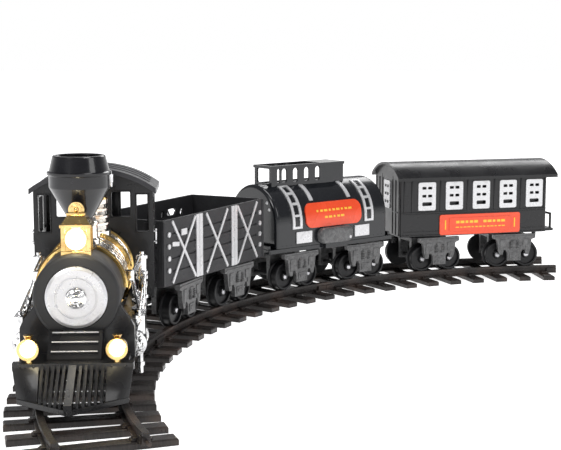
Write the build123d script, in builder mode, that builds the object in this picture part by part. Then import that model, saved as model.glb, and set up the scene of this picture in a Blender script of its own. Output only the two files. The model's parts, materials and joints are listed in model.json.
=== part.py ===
from build123d import *
import os
from math import atan2, cos, degrees, radians, sin, sqrt

# Toy steam train with three cars on a curve of sectional track.
# Every vehicle is drawn at the origin, nose along +X, its left side along +Y and
# the floor at Z = 0, and is then set on the curve. It runs anticlockwise.

os.makedirs("parts", exist_ok=True)

# ---------------------------------------------------------------- driving sizes
curve_radius = 410.0
curve_centre_x = 241.598
curve_centre_y = -141.962
track_start_angle = 94.0
section_angle = 36.0
section_count = 3
sleepers_per_section = 10
section_end_gap = 0.02          # degrees left free at each end of a section

gauge = 45.0                    # between the inner faces of the rails
sleeper_length = 89.0
sleeper_width = 10.5
sleeper_height = 4.0
rail_top = 11.0
rail_head_width = 4.0
rail_foot_width = 6.0
rail_offset = gauge / 2 + rail_head_width / 2

wheel_gap = 0.1                 # tread above the rail, so the solids never touch
running_fit = 0.05
press_gap = 0.03

car_wheel_radius = 11.5
car_axle_spacing = 28.0
car_floor = 43.5                # underside of every car body
truck_offset = 41.0             # king pin from the middle of the car
coupler_height = 38.0           # middle of the drawbars
coupler_pin_radius = 2.0

gondola_angle = 153.64
gondola_length = 156.0
gondola_width = 67.6
gondola_top = 91.5
tank_angle = 129.77
tank_length = 143.0
tank_width = 64.0
barrel_radius = 32.0
barrel_axis_height = 67.0
barrel_length = 128.0
coach_angle = 106.29
coach_front = 76.0
coach_back = -70.0
coach_width = 63.6
coach_eaves = 96.5

loco_angle = 181.7
loco_heading = 183.0
loco_inward = 1.5
loco_reference = 57.0           # smokebox front ahead of the reference point
boiler_height = 69.0
smokebox_radius = 25.4
chimney_x = -31.6
sand_dome_x = -56.0
steam_dome_x = -91.0
driver_radius = 18.0
front_driver_x = -66.0
rear_driver_x = -106.0
crank_radius = 8.0
lead_pivot_x = -6.0
lead_wheel_radius = 9.0
lead_axle_spacing = 26.0
cab_front_x = -115.0
cab_back_x = -161.0
cab_width = 79.6
cab_eaves = 118.6
cab_crown = 131.4

standing = (Align.CENTER, Align.CENTER, Align.MIN)
hanging = (Align.CENTER, Align.CENTER, Align.MAX)


# ---------------------------------------------------------------- placing and saving
def on_curve(angle, heading, inward=0.0, ahead=0.0):
    """Place of a vehicle whose origin stands at this angle of the curve."""
    x = curve_centre_x + curve_radius * cos(radians(angle)) - inward * cos(radians(heading))
    y = curve_centre_y + curve_radius * sin(radians(angle)) - inward * sin(radians(heading))
    x -= ahead * sin(radians(heading))
    y += ahead * cos(radians(heading))
    return Location((x, y, 0), (0, 0, heading + 90))


def car_on_curve(angle):
    """Place of a car whose two king pins stand over the middle of the track."""
    inward = curve_radius - sqrt(curve_radius**2 - truck_offset**2)
    return on_curve(angle, angle, inward)


loco_place = on_curve(loco_angle, loco_heading, loco_inward, loco_reference)
gondola_place = car_on_curve(gondola_angle)
tank_place = car_on_curve(tank_angle)
coach_place = car_on_curve(coach_angle)


def save(piece, label, place):
    """Label a finished piece, set it on the curve and write its file."""
    placed = piece.part.moved(place)
    placed.label = label
    export_step(placed, f"parts/{label}.step")


def truck_place(car_place, offset):
    """Place of a truck under its king pin, turned to follow the curve."""
    pin = (car_place * Location((offset, 0, 0))).position
    angle = degrees(atan2(pin.Y - curve_centre_y, pin.X - curve_centre_x))
    return Location((pin.X, pin.Y, 0), (0, 0, angle + 90))


# ---------------------------------------------------------------- track
rail_foot_height = 1.2
rail_web_width = 1.8
rail_head_height = 2.2
joiner_pin_radius = 1.2
joiner_pin_length = 6.0
joiner_height = 6.3             # middle of the joining pins
joiner_block = (5.0, 9.0, 4.6)

with BuildPart() as track_section:
    first_sleeper = section_angle / sleepers_per_section / 2
    with PolarLocations(curve_radius, sleepers_per_section, first_sleeper, section_angle):
        Box(sleeper_length, sleeper_width, sleeper_height, align=standing)
    chamfer(track_section.edges().group_by(Axis.Z)[-1], 0.8)
    for rail_radius in (curve_radius - rail_offset, curve_radius + rail_offset):
        with PolarLocations(rail_radius, sleepers_per_section, first_sleeper, section_angle):
            Box(10, 5, sleeper_height + 1.8, align=standing)
    end_gap = radians(section_end_gap)
    end_plane = Plane(
        origin=(0, 0, 0),
        x_dir=(cos(end_gap), sin(end_gap), 0),
        z_dir=(sin(end_gap), -cos(end_gap), 0),
    )
    with BuildSketch(end_plane):
        for rail_radius in (curve_radius - rail_offset, curve_radius + rail_offset):
            with Locations((rail_radius, sleeper_height)):
                Rectangle(rail_foot_width, rail_foot_height, align=(Align.CENTER, Align.MIN))
                Rectangle(rail_web_width, rail_top - sleeper_height, align=(Align.CENTER, Align.MIN))
            with Locations((rail_radius, rail_top)):
                Rectangle(rail_head_width, rail_head_height, align=(Align.CENTER, Align.MAX))
    revolve(axis=Axis.Z, revolution_arc=section_angle - 2 * section_end_gap)
    for rail_radius in (curve_radius - rail_offset, curve_radius + rail_offset):
        end_step = degrees((joiner_block[1] / 2 + 0.15) / rail_radius)
        with PolarLocations(rail_radius, 2, end_step, section_angle - 2 * end_step, endpoint=True):
            with Locations((0, 0, sleeper_height)):
                Box(*joiner_block, align=standing)
        with PolarLocations(rail_radius, 1, section_angle):
            with Locations(Location((0, -3, joiner_height), (-90, 0, 0))):
                Cylinder(joiner_pin_radius, joiner_pin_length + 3, align=standing)
        with PolarLocations(rail_radius, 1, 0):
            with Locations(Location((0, -1, joiner_height), (-90, 0, 0))):
                Cylinder(
                    joiner_pin_radius + running_fit,
                    joiner_pin_length + 2,
                    align=standing,
                    mode=Mode.SUBTRACT,
                )

for number in range(section_count):
    turn = track_start_angle + number * section_angle
    section_place = Location((curve_centre_x, curve_centre_y, 0), (0, 0, turn))
    save(track_section, f"track_section_{number + 1}", section_place)

# ---------------------------------------------------------------- wheels
wheel_back = 18.9               # back of a wheel from the middle of the track
flange_width = 1.9
tread_end = 27.0
flange_depth = 1.5


def wheelset(radius, axle_radius, axle_half_length):
    """Two flanged wheels pressed on an axle along Y, through the origin."""
    bore = axle_radius + press_gap
    with BuildPart() as pair:
        for side in (1, -1):
            with BuildSketch(Plane.YZ):
                with BuildLine():
                    Polyline(
                        (side * wheel_back, bore),
                        (side * wheel_back, radius + flange_depth - 0.5),
                        (side * (wheel_back + 0.5), radius + flange_depth),
                        (side * (wheel_back + flange_width - 0.5), radius + flange_depth),
                        (side * (wheel_back + flange_width), radius),
                        (side * (tread_end - 0.5), radius),
                        (side * tread_end, radius - 0.5),
                        (side * tread_end, radius - 1.9),
                        (side * (tread_end - 1.8), radius - 2.4),
                        (side * (tread_end - 1.8), axle_radius + 2.6),
                        (side * (tread_end + 0.4), axle_radius + 1.8),
                        (side * (tread_end + 0.4), bore),
                        close=True,
                    )
                make_face()
            revolve(axis=Axis.Y)
        with Locations(Rotation(90, 0, 0)):
            Cylinder(axle_radius, 2 * axle_half_length)
    return pair


def save_wheelsets(first_label, radius, axle_radius, axle_half_length, place, spacing):
    """The two wheelsets of a truck, front one first."""
    pair = wheelset(radius, axle_radius, axle_half_length)
    height = rail_top + wheel_gap + radius
    for number, offset in ((1, spacing / 2), (2, -spacing / 2)):
        save(pair, f"{first_label}_{number}", place * Location((offset, 0, height)))


# ---------------------------------------------------------------- car trucks
side_frame_inner = 29.6
side_frame_outer = 33.4
king_pin_radius = 3.0
king_pin_head = 4.4
truck_plate_bottom = 36.6
truck_plate_top = 40.0
truck_top = 42.4
car_axle_height = rail_top + wheel_gap + car_wheel_radius
car_axle_radius = 1.5


def car_truck():
    """Swivelling truck: a plate on the king pin, inside bearings and outside frames."""
    with BuildPart() as truck:
        for side in (1, -1):
            middle = side * (side_frame_inner + side_frame_outer) / 2
            with BuildSketch(Plane.XZ.offset(-middle)):
                with BuildLine():
                    Polyline(
                        (-20.5, truck_top), (-20.5, 38.6), (-16.8, 37.2), (-15.8, 28.5), (-14.2, 23.4),
                        (-11.2, 23.4), (-10.4, 27.6), (-8.0, 27.6), (-6.6, 24.6), (-6.6, 17.6),
                        (6.6, 17.6), (6.6, 24.6), (8.0, 27.6), (10.4, 27.6), (11.2, 23.4),
                        (14.2, 23.4), (15.8, 28.5), (16.8, 37.2), (20.5, 38.6), (20.5, truck_top),
                        close=True,
                    )
                make_face()
            extrude(amount=(side_frame_outer - side_frame_inner) / 2, both=True)
            with BuildSketch(Plane.XZ.offset(-side * side_frame_outer)):
                with Locations((0, 40.2)):
                    Rectangle(38, 1.2)
                with GridLocations(11, 1, 3, 1):
                    with Locations((0, 34.2)):
                        Rectangle(5.4, 6.6)
                with Locations((0, 22.6)):
                    Rectangle(8.4, 5.4)
            extrude(amount=0.6, both=True)
        with Locations((0, 0, (truck_plate_bottom + truck_plate_top) / 2)):
            Box(15, 2 * side_frame_inner + 1, truck_plate_top - truck_plate_bottom)
            Box(car_axle_spacing + 8, 27, truck_plate_top - truck_plate_bottom)
        with GridLocations(car_axle_spacing, 22, 2, 2):
            with Locations((0, 0, truck_plate_bottom + 1)):
                Box(8, 4, truck_plate_bottom + 1 - 18.6, align=hanging)
        with GridLocations(1, 22, 1, 2):
            with Locations((0, 0, truck_plate_bottom + 1)):
                Box(car_axle_spacing, 4, 8, align=hanging)
        with GridLocations(car_axle_spacing, 1, 2, 1):
            with Locations(Location((0, 0, car_axle_height), (90, 0, 0))):
                Cylinder(car_axle_radius + running_fit, 40, mode=Mode.SUBTRACT)
        Cylinder(king_pin_radius + running_fit, 200, mode=Mode.SUBTRACT)
    return truck


def save_trucks(car, car_place, front_offset, back_offset):
    """Both trucks of a car with their wheelsets."""
    truck = car_truck()
    for end, offset in (("front", front_offset), ("rear", back_offset)):
        place = truck_place(car_place, offset)
        save(truck, f"{car}_{end}_truck", place)
        save_wheelsets(
            f"{car}_{end}_wheelset",
            car_wheel_radius,
            car_axle_radius,
            tread_end + 1.0,
            place,
            car_axle_spacing,
        )


def add_king_pin(x):
    """King pin with its rubbing boss and snap head, under a car floor."""
    with Locations((x, 0, car_floor + 0.5)):
        Cylinder(7, car_floor + 0.5 - truck_plate_top - 0.3, align=hanging)
        Cylinder(king_pin_radius, car_floor + 0.5 - 33.6, align=hanging)
    with Locations((x, 0, truck_plate_bottom - 0.3)):
        Cylinder(king_pin_head, 2.6, align=hanging)


# ---------------------------------------------------------------- drawbars
drawbar_thickness = 3.0
drawbar_eye = 4.6
loose_eye_bore = 3.2


def add_coupler_pin(x, top, headed):
    """Pin that hangs from a floor at this height; a headed one keeps its drawbar."""
    boss_bottom = coupler_height + drawbar_thickness / 2 + 0.3
    with Locations((x, 0, top)):
        Cylinder(coupler_pin_radius + 2.2, top - boss_bottom, align=hanging)
        Cylinder(
            coupler_pin_radius,
            top - coupler_height + drawbar_thickness / 2 + 1.3,
            align=hanging,
        )
    if headed:
        with Locations((x, 0, coupler_height - drawbar_thickness / 2 - 0.3)):
            Cylinder(coupler_pin_radius + 1.6, 1.6, align=hanging)


def save_drawbar(label, own_place, own_x, neighbour_place, neighbour_x):
    """Flat bar from the pin of its own car to the pin of the vehicle ahead."""
    own_pin = (own_place * Location((own_x, 0, 0))).position
    far_pin = (neighbour_place * Location((neighbour_x, 0, 0))).position
    reach = far_pin - own_pin
    length = sqrt(reach.X**2 + reach.Y**2)
    turn = degrees(atan2(reach.Y, reach.X))
    with BuildPart() as drawbar:
        with BuildSketch(Plane.XY.offset(coupler_height - drawbar_thickness / 2)):
            Circle(drawbar_eye)
            with Locations((length, 0)):
                Circle(drawbar_eye + 1.4)
            with Locations((length / 2, 0)):
                Rectangle(length, 5.6)
            Circle(coupler_pin_radius + running_fit, mode=Mode.SUBTRACT)
            with Locations((length, 0)):
                Circle(loose_eye_bore, mode=Mode.SUBTRACT)
        extrude(amount=drawbar_thickness)
    save(drawbar, label, Location((own_pin.X, own_pin.Y, 0), (0, 0, turn)))


# ---------------------------------------------------------------- gondola
gondola_wall = 2.2
plank_lines = (53.5, 63.2, 72.1, 81.0)
brace_centres = (49.5, 0.0, -49.5)
brace_half_width = 16.5
post_centres = (27.3, -27.3)
end_stile = 66.0

with BuildPart() as gondola_body:
    with BuildSketch(Plane.XY.offset(car_floor)):
        Rectangle(gondola_length, gondola_width)
    extrude(amount=gondola_top - car_floor)
    chamfer(gondola_body.edges().filter_by(Axis.Z), 0.8)
    with BuildSketch(Plane.XY.offset(car_floor + 2.5)):
        Rectangle(gondola_length - 2 * gondola_wall, gondola_width - 2 * gondola_wall)
    extrude(amount=gondola_top - car_floor, mode=Mode.SUBTRACT)
    for line_height in plank_lines:
        for side in (1, -1):
            with Locations((0, side * gondola_width / 2, line_height)):
                Box(2 * end_stile, 1.6, 1.3, mode=Mode.SUBTRACT)
            with Locations((side * gondola_length / 2, 0, line_height)):
                Box(1.6, gondola_width - 10, 1.3, mode=Mode.SUBTRACT)
    with BuildSketch(Plane.XZ.offset(gondola_width / 2)):
        with Locations((-28, 79.8), (-57.5, 79.5)):
            Ellipse(2.7, 3.2)
        with Locations((-42.0, 80.6)):
            SlotOverall(14, 5.6)
    extrude(amount=4, both=True, mode=Mode.SUBTRACT)
    with Locations((0, 0, car_floor + 0.5)):
        Box(gondola_length - 40, 12, 3.2, align=hanging)
    add_king_pin(truck_offset)
    add_king_pin(-truck_offset)
    add_coupler_pin(gondola_length / 2 - 4.5, car_floor + 0.5, True)
    add_coupler_pin(-gondola_length / 2 + 4.5, car_floor + 0.5, False)

save(gondola_body, "gondola_body", gondola_place)

trim_thickness = 0.9
brace_width = 2.2
trim_bottom = car_floor + 0.6
trim_top = gondola_top - 0.4

with BuildPart() as gondola_trim:
    for side in (1, -1):
        with BuildSketch(Plane.XZ.offset(-side * (gondola_width / 2 + 0.02))):
            for centre in brace_centres:
                left = centre + brace_half_width
                right = centre - brace_half_width
                with BuildLine():
                    Line((right, trim_bottom + 1), (left, trim_top - 1))
                    Line((right, trim_top - 1), (left, trim_bottom + 1))
                trace(line_width=brace_width)
            for centre in post_centres:
                for rib in (-2.4, 2.4):
                    with Locations((centre + rib, (trim_top + trim_bottom) / 2)):
                        Rectangle(4.4, trim_top - trim_bottom)
            for stile in (70.5, -71.0):
                for line_height in (54.6, 63.4, 72.1, 80.8):
                    with Locations((stile, line_height)):
                        Circle(1.9)
            with Locations((49.6, 80.6)):
                Rectangle(8, 4.6)
            with Locations(Location((61.6, 73.0), 6)):
                Rectangle(9.5, 3.2)
        extrude(amount=-side * trim_thickness)

save(gondola_trim, "gondola_trim", gondola_place)
save_trucks("gondola", gondola_place, truck_offset, -truck_offset)

# ---------------------------------------------------------------- tank car
barrel_wall = 2.0
skirt_bottom = 47.2
strap_centres = (41.4, -41.4)
band_centres = (21.6, -21.6)
gallery_front = 52.5
gallery_back = -29.5
gallery_half_width = 11.5
gallery_top = 114.6

reservoir_height = 54.4
reservoir_inner = 32.05
reservoir_outer = 37.95

with BuildPart() as tank_frame:
    for side in (1, -1):
        with BuildSketch(Plane.XZ.offset(-side * reservoir_inner)):
            with Locations((0, reservoir_height)):
                RectangleRounded(37, 13.4, 5.6)
        extrude(amount=-side * (reservoir_outer - reservoir_inner))
    for end in (0, -1):
        fillet(tank_frame.faces().sort_by(Axis.Y)[end].edges(), 2.4)
    for side in (1, -1):
        with Locations((0, side * 34.2, car_floor)):
            Box(25, 3.6, 6.4, align=standing)
        with Locations((0, side * 33.4, car_floor)):
            Box(25, 5.2, 3.4, align=standing)
    with Locations((0, 0, car_floor)):
        Box(tank_length, tank_width, 3.4, align=standing)
    corner_posts = tank_frame.edges().filter_by(Axis.Z)
    chamfer(corner_posts.group_by(Axis.X)[0] + corner_posts.group_by(Axis.X)[-1], 1.2)
    for end in (1, -1):
        with Locations((end * (tank_length / 2 - 2.2), 0, car_floor + 3.4)):
            Box(2.4, tank_width - 6, 3.0, align=standing)
    with Locations((0, 0, car_floor + 0.5)):
        Box(tank_length - 34, 12, 3.2, align=hanging)
    for offset in (truck_offset - 0.5, 0.5 - truck_offset):
        add_king_pin(offset)
    add_coupler_pin(tank_length / 2 - 4.5, car_floor + 0.5, True)
    add_coupler_pin(-tank_length / 2 + 4.5, car_floor + 0.5, False)

save(tank_frame, "tank_frame", tank_place)


def barrel_face(inset):
    """Arched section of the barrel and its straight skirts, in the current sketch."""
    with Locations((0, barrel_axis_height)):
        Circle(barrel_radius - inset)
    with Locations((0, barrel_axis_height)):
        Rectangle(
            2 * (barrel_radius - inset),
            barrel_axis_height - skirt_bottom - 0.02,
            align=(Align.CENTER, Align.MAX),
        )


with BuildPart() as tank_shell:
    with BuildSketch(Plane.YZ):
        barrel_face(0)
        with Locations((0, skirt_bottom)):
            Rectangle(100, 60, align=(Align.CENTER, Align.MAX), mode=Mode.SUBTRACT)
    extrude(amount=barrel_length / 2, both=True)
    end_edges = tank_shell.edges().group_by(Axis.X)[0] + tank_shell.edges().group_by(Axis.X)[-1]
    fillet(end_edges.filter_by(lambda edge: edge.center().Z > skirt_bottom + 1), 3.0)
    with BuildSketch(Plane.YZ):
        barrel_face(barrel_wall)
        with Locations((0, skirt_bottom)):
            Rectangle(100, 60, align=(Align.CENTER, Align.MAX), mode=Mode.SUBTRACT)
    extrude(amount=barrel_length / 2 - barrel_wall, both=True, mode=Mode.SUBTRACT)

save(tank_shell, "tank_shell", tank_place)

with BuildPart() as tank_gallery:
    gallery_middle = (gallery_front + gallery_back) / 2
    with BuildSketch(Plane.XY.offset(barrel_axis_height)):
        with Locations((gallery_middle, 0)):
            Rectangle(gallery_front - gallery_back, 2 * gallery_half_width)
    extrude(amount=gallery_top - barrel_axis_height)
    with BuildSketch(Plane.XY.offset(gallery_top - 2.4)):
        with Locations((gallery_middle, 0)):
            Rectangle(gallery_front - gallery_back + 1.6, 2 * gallery_half_width + 1.6)
    extrude(amount=2.4)
    with BuildSketch(Plane.XY.offset(barrel_axis_height)):
        with Locations(((gallery_front - 4.6) / 2, 0)):
            Rectangle(gallery_front + 1.4, 2 * gallery_half_width - 3.2)
    extrude(amount=60, mode=Mode.SUBTRACT)
    with BuildSketch(Plane.XY.offset(barrel_axis_height)):
        with Locations((gallery_middle, 0)):
            Rectangle(gallery_front - gallery_back - 3.2, 2 * gallery_half_width - 3.2)
    extrude(amount=gallery_top - barrel_axis_height - 2.4, mode=Mode.SUBTRACT)
    with BuildSketch(Plane.YZ.offset(gallery_front)):
        with Locations((0, (gallery_top + 99.5) / 2 - 1.2)):
            RectangleRounded(2 * gallery_half_width - 6.6, gallery_top - 99.5 - 2.4, 1.2)
    extrude(amount=6, both=True, mode=Mode.SUBTRACT)
    with BuildSketch(Plane.XZ.offset(-gallery_half_width)):
        for slot_x in (44.6, 38.3, 25.8, 13.2, 0.6):
            with Locations((slot_x, 105.6)):
                SlotOverall(12.6, 5.8 if slot_x < 40 else 3.2, rotation=90)
    extrude(amount=2.4, both=True, mode=Mode.SUBTRACT)
    with BuildSketch(Plane.XZ.offset(gallery_half_width)):
        with Locations((gallery_middle, 105.6)):
            RectangleRounded(gallery_front - gallery_back - 6.0, 12.6, 2.0)
    extrude(amount=2.4, both=True, mode=Mode.SUBTRACT)
    with Locations(Location((0, 0, barrel_axis_height), (0, 90, 0))):
        Cylinder(barrel_radius + 0.02, 200, mode=Mode.SUBTRACT)

save(tank_gallery, "tank_gallery", tank_place)


def barrel_sector(thickness, from_angle, to_angle, side, below=-0.02):
    """Strip on one side of the barrel, between two angles; under the axis it runs straight down."""
    lowest = max(0, from_angle)
    drop = barrel_radius * radians(lowest - from_angle)
    start = lowest if side > 0 else 180 - to_angle
    with BuildSketch() as strip:
        with BuildLine():
            inner = CenterArc((0, barrel_axis_height), barrel_radius - below, start, to_angle - lowest)
            outer = CenterArc((0, barrel_axis_height), barrel_radius + thickness, start, to_angle - lowest)
            Line(inner @ 0, outer @ 0)
            Line(inner @ 1, outer @ 1)
        make_face()
        if drop > 0:
            with Locations((side * (barrel_radius - below), barrel_axis_height)):
                outward = Align.MIN if side > 0 else Align.MAX
                Rectangle(thickness + below, drop, align=(outward, Align.MAX))
    return strip.sketch


strap_foot_angle = -8.0
strap_head_angle = 68.0
strap_width = 10.6
strap_rail = 2.6
strap_slot = 14.5               # degrees of each gap between the rungs

with BuildPart() as tank_straps:
    for side in (1, -1):
        for centre in strap_centres:
            with BuildSketch(Plane.YZ.offset(centre)):
                add(barrel_sector(1.0, strap_foot_angle, strap_head_angle, side))
            extrude(amount=strap_width / 2, both=True)
            for slot_angle in (-4.5, 13.5, 32.0, 50.5):
                with BuildSketch(Plane.YZ.offset(centre)):
                    add(barrel_sector(2.0, slot_angle, slot_angle + strap_slot, side, below=1.0))
                extrude(amount=strap_width / 2 - strap_rail, both=True, mode=Mode.SUBTRACT)
        for centre in band_centres:
            with BuildSketch(Plane.YZ.offset(centre)):
                add(barrel_sector(0.8, 33.0, 68.0, side))
            extrude(amount=1.9, both=True)
        for centre in (34.0, -33.0):
            with Locations((centre, side * (barrel_radius + 0.52), 54.9)):
                Box(17.2, 1.0, 9.8)
        for end in (1, -1):
            end_face = end * (barrel_length / 2 + 0.02)
            for across, height in ((19.5, 85.0), (22.5, 79.5)):
                with Locations(Location((end_face, side * across, height), (0, end * 90, 0))):
                    Cone(1.5, 0.7, 1.0, align=standing)

save(tank_straps, "tank_straps", tank_place)

with BuildPart() as tank_plates:
    for side in (1, -1):
        with BuildSketch(Plane.YZ):
            add(barrel_sector(1.1, -9.0, 29.5, side))
        extrude(amount=32.0, both=True)
    with BuildSketch(Plane.XZ) as plate_outline:
        with Locations((0, barrel_axis_height + 5.4)):
            RectangleRounded(64.0, 20.8, 7.0)
    extrude(amount=60, both=True, mode=Mode.INTERSECT)

save(tank_plates, "tank_plates", tank_place)

save_trucks("tank", tank_place, truck_offset - 0.5, 0.5 - truck_offset)

# ---------------------------------------------------------------- coach
coach_wall = 2.0
coach_crown = 109.6
roof_thickness = 2.2
window_centres = (50.2, 23.4, -3.4, -30.3, -57.1)
window_width = 17.0
window_height = 25.6
window_middle = 80.3
coach_platform_end = -79.0
coach_middle = (coach_front + coach_back) / 2


def roof_arc(half_width, eaves, crown):
    """Radius of the arch through the eaves and the crown."""
    rise = crown - eaves
    return (half_width**2 + rise**2) / (2 * rise)


coach_arch = roof_arc(coach_width / 2, coach_eaves, coach_crown - roof_thickness)

with BuildPart() as coach_body:
    with BuildSketch(Plane.YZ.offset(coach_back)):
        with Locations((0, coach_crown - roof_thickness - coach_arch - 0.05)):
            Circle(coach_arch)
        with Locations((0, car_floor)):
            Rectangle(
                coach_width,
                coach_crown - car_floor,
                align=(Align.CENTER, Align.MIN),
                mode=Mode.INTERSECT,
            )
    extrude(amount=coach_front - coach_back)
    chamfer(coach_body.edges().filter_by(Axis.Z), 0.8)
    with Locations((coach_middle, 0, car_floor + 2.5)):
        Box(
            coach_front - coach_back - 2 * coach_wall,
            coach_width - 2 * coach_wall,
            80,
            align=standing,
            mode=Mode.SUBTRACT,
        )
    with BuildSketch(Plane.XZ):
        for centre in window_centres:
            with Locations((centre, window_middle)):
                RectangleRounded(window_width - 3, window_height - 3, 1.0)
    extrude(amount=60, both=True, mode=Mode.SUBTRACT)
    with BuildSketch(Plane.YZ.offset(coach_middle)):
        with Locations((0, window_middle)):
            RectangleRounded(window_width - 5, window_height - 3, 1.0)
    extrude(amount=120, both=True, mode=Mode.SUBTRACT)
    for end_x in (coach_front, coach_back):
        for edge_y in (-13.4, 13.4):
            with Locations((end_x, edge_y, 48)):
                Box(1.2, 1.0, 50, align=standing, mode=Mode.SUBTRACT)
    for side in (1, -1):
        for line_height in (64.6, 48.4):
            with Locations((coach_middle, side * coach_width / 2, line_height)):
                Box(coach_front - coach_back - 6, 0.9, 0.9, mode=Mode.SUBTRACT)
    with Locations(((coach_platform_end + coach_back) / 2 + 1, 0, car_floor)):
        Box(coach_back - coach_platform_end + 4, coach_width - 8, 2.5, align=standing)
    for post_y in (-26, -9, 9, 26):
        with Locations((coach_platform_end + 1.4, post_y, car_floor + 2)):
            Box(1.6, 1.8, 14, align=standing)
    for side in (1, -1):
        with Locations((coach_platform_end + 1.4, side * 17.5, car_floor + 16)):
            Box(1.6, 18.8, 1.8)
    with Locations((0, 0, car_floor + 0.5)):
        Box(coach_front - coach_back - 30, 12, 3.2, align=hanging)
    add_king_pin(truck_offset)
    add_king_pin(-truck_offset)
    add_coupler_pin(coach_front - 4.5, car_floor + 0.5, True)
    add_coupler_pin(coach_platform_end + 4.5, car_floor + 0.5, False)

save(coach_body, "coach_body", coach_place)


with BuildPart() as coach_windows:
    for side in (1, -1):
        with BuildSketch(Plane.XZ.offset(-side * (coach_width / 2 + 0.02))):
            for centre in window_centres:
                with Locations((centre, window_middle)):
                    RectangleRounded(window_width, window_height, 1.6)
                with Locations((centre, window_middle + 4.0)):
                    with GridLocations(5.6, 7.2, 2, 2):
                        RectangleRounded(4.0, 2.5, 0.6, mode=Mode.SUBTRACT)
                with Locations((centre, window_middle - 6.9)):
                    RectangleRounded(9.4, 3.4, 1.0, mode=Mode.SUBTRACT)
        extrude(amount=-side * 0.9)
    for end_x, outward in ((coach_front + 0.02, 1), (coach_back - 0.02, -1)):
        with BuildSketch(Plane.YZ.offset(end_x)):
            with Locations((0, window_middle)):
                RectangleRounded(window_width - 2, window_height, 1.6)
            for pane_height in (7.6, 0.4, -6.9):
                with Locations((-2.8, window_middle + pane_height), (2.8, window_middle + pane_height)):
                    RectangleRounded(4.0, 2.5, 0.6, mode=Mode.SUBTRACT)
        extrude(amount=outward * 0.9)

save(coach_windows, "coach_windows", coach_place)

with BuildPart() as coach_plates:
    for side in (1, -1):
        with BuildSketch(Plane.XZ.offset(-side * (coach_width / 2 + 0.02))):
            with Locations((-2.6, 53.7)):
                RectangleRounded(80.4, 18.6, 2.0)
        extrude(amount=-side * 1.2)
        with BuildSketch(Plane.XZ.offset(-side * (coach_width / 2 + 1.0))):
            with Locations((-2.6, 53.7)):
                RectangleRounded(62.0, 12.4, 1.0)
        extrude(amount=-side * 0.8)

save(coach_plates, "coach_plates", coach_place)

with BuildPart() as coach_roof:
    roof_half_width = coach_width / 2 + 2.4
    with BuildSketch(Plane.YZ.offset(coach_platform_end - 1)):
        with Locations((0, coach_crown - coach_arch - roof_thickness)):
            Circle(coach_arch + roof_thickness)
            Circle(coach_arch + 0.05, mode=Mode.SUBTRACT)
        with Locations((0, coach_eaves - 2.4)):
            Rectangle(2 * roof_half_width, 40, align=(Align.CENTER, Align.MIN), mode=Mode.INTERSECT)
    extrude(amount=coach_front + 3 - coach_platform_end + 1)

save(coach_roof, "coach_roof", coach_place)
save_trucks("coach", coach_place, truck_offset, -truck_offset)

# ---------------------------------------------------------------- locomotive chassis
deck_bottom = 33.0
deck_top = 35.5
spine_inner = 11.8
spine_outer = 15.2
spine_bottom = 24.0
spine_top = 43.0
running_board_height = 49.5
driver_axle_height = rail_top + wheel_gap + driver_radius
driver_axle_radius = 1.75
lead_axle_height = rail_top + wheel_gap + lead_wheel_radius
lead_axle_radius = 1.4
lead_pin_radius = 2.5
boiler_radius = 23.4
boiler_end = cab_front_x + 0.2
smokebox_length = 41.0
jacket_radius = 25.0
battery_box = (-118.5, -151.0, 28.5, 83.0)
box_wall = 1.6
cab_floor_bottom = 46.4
cab_floor_top = 48.6
loco_pin_x = -156.5
cab_screw_x = (-132.0, -155.0)
cab_screw_y = 35.0
screw_radius = 1.1


def axle_bore(x, height, radius, length=80):
    """Bore for an axle across the chassis."""
    with Locations(Location((x, 0, height), (90, 0, 0))):
        Cylinder(radius + running_fit, length, mode=Mode.SUBTRACT)


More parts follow.
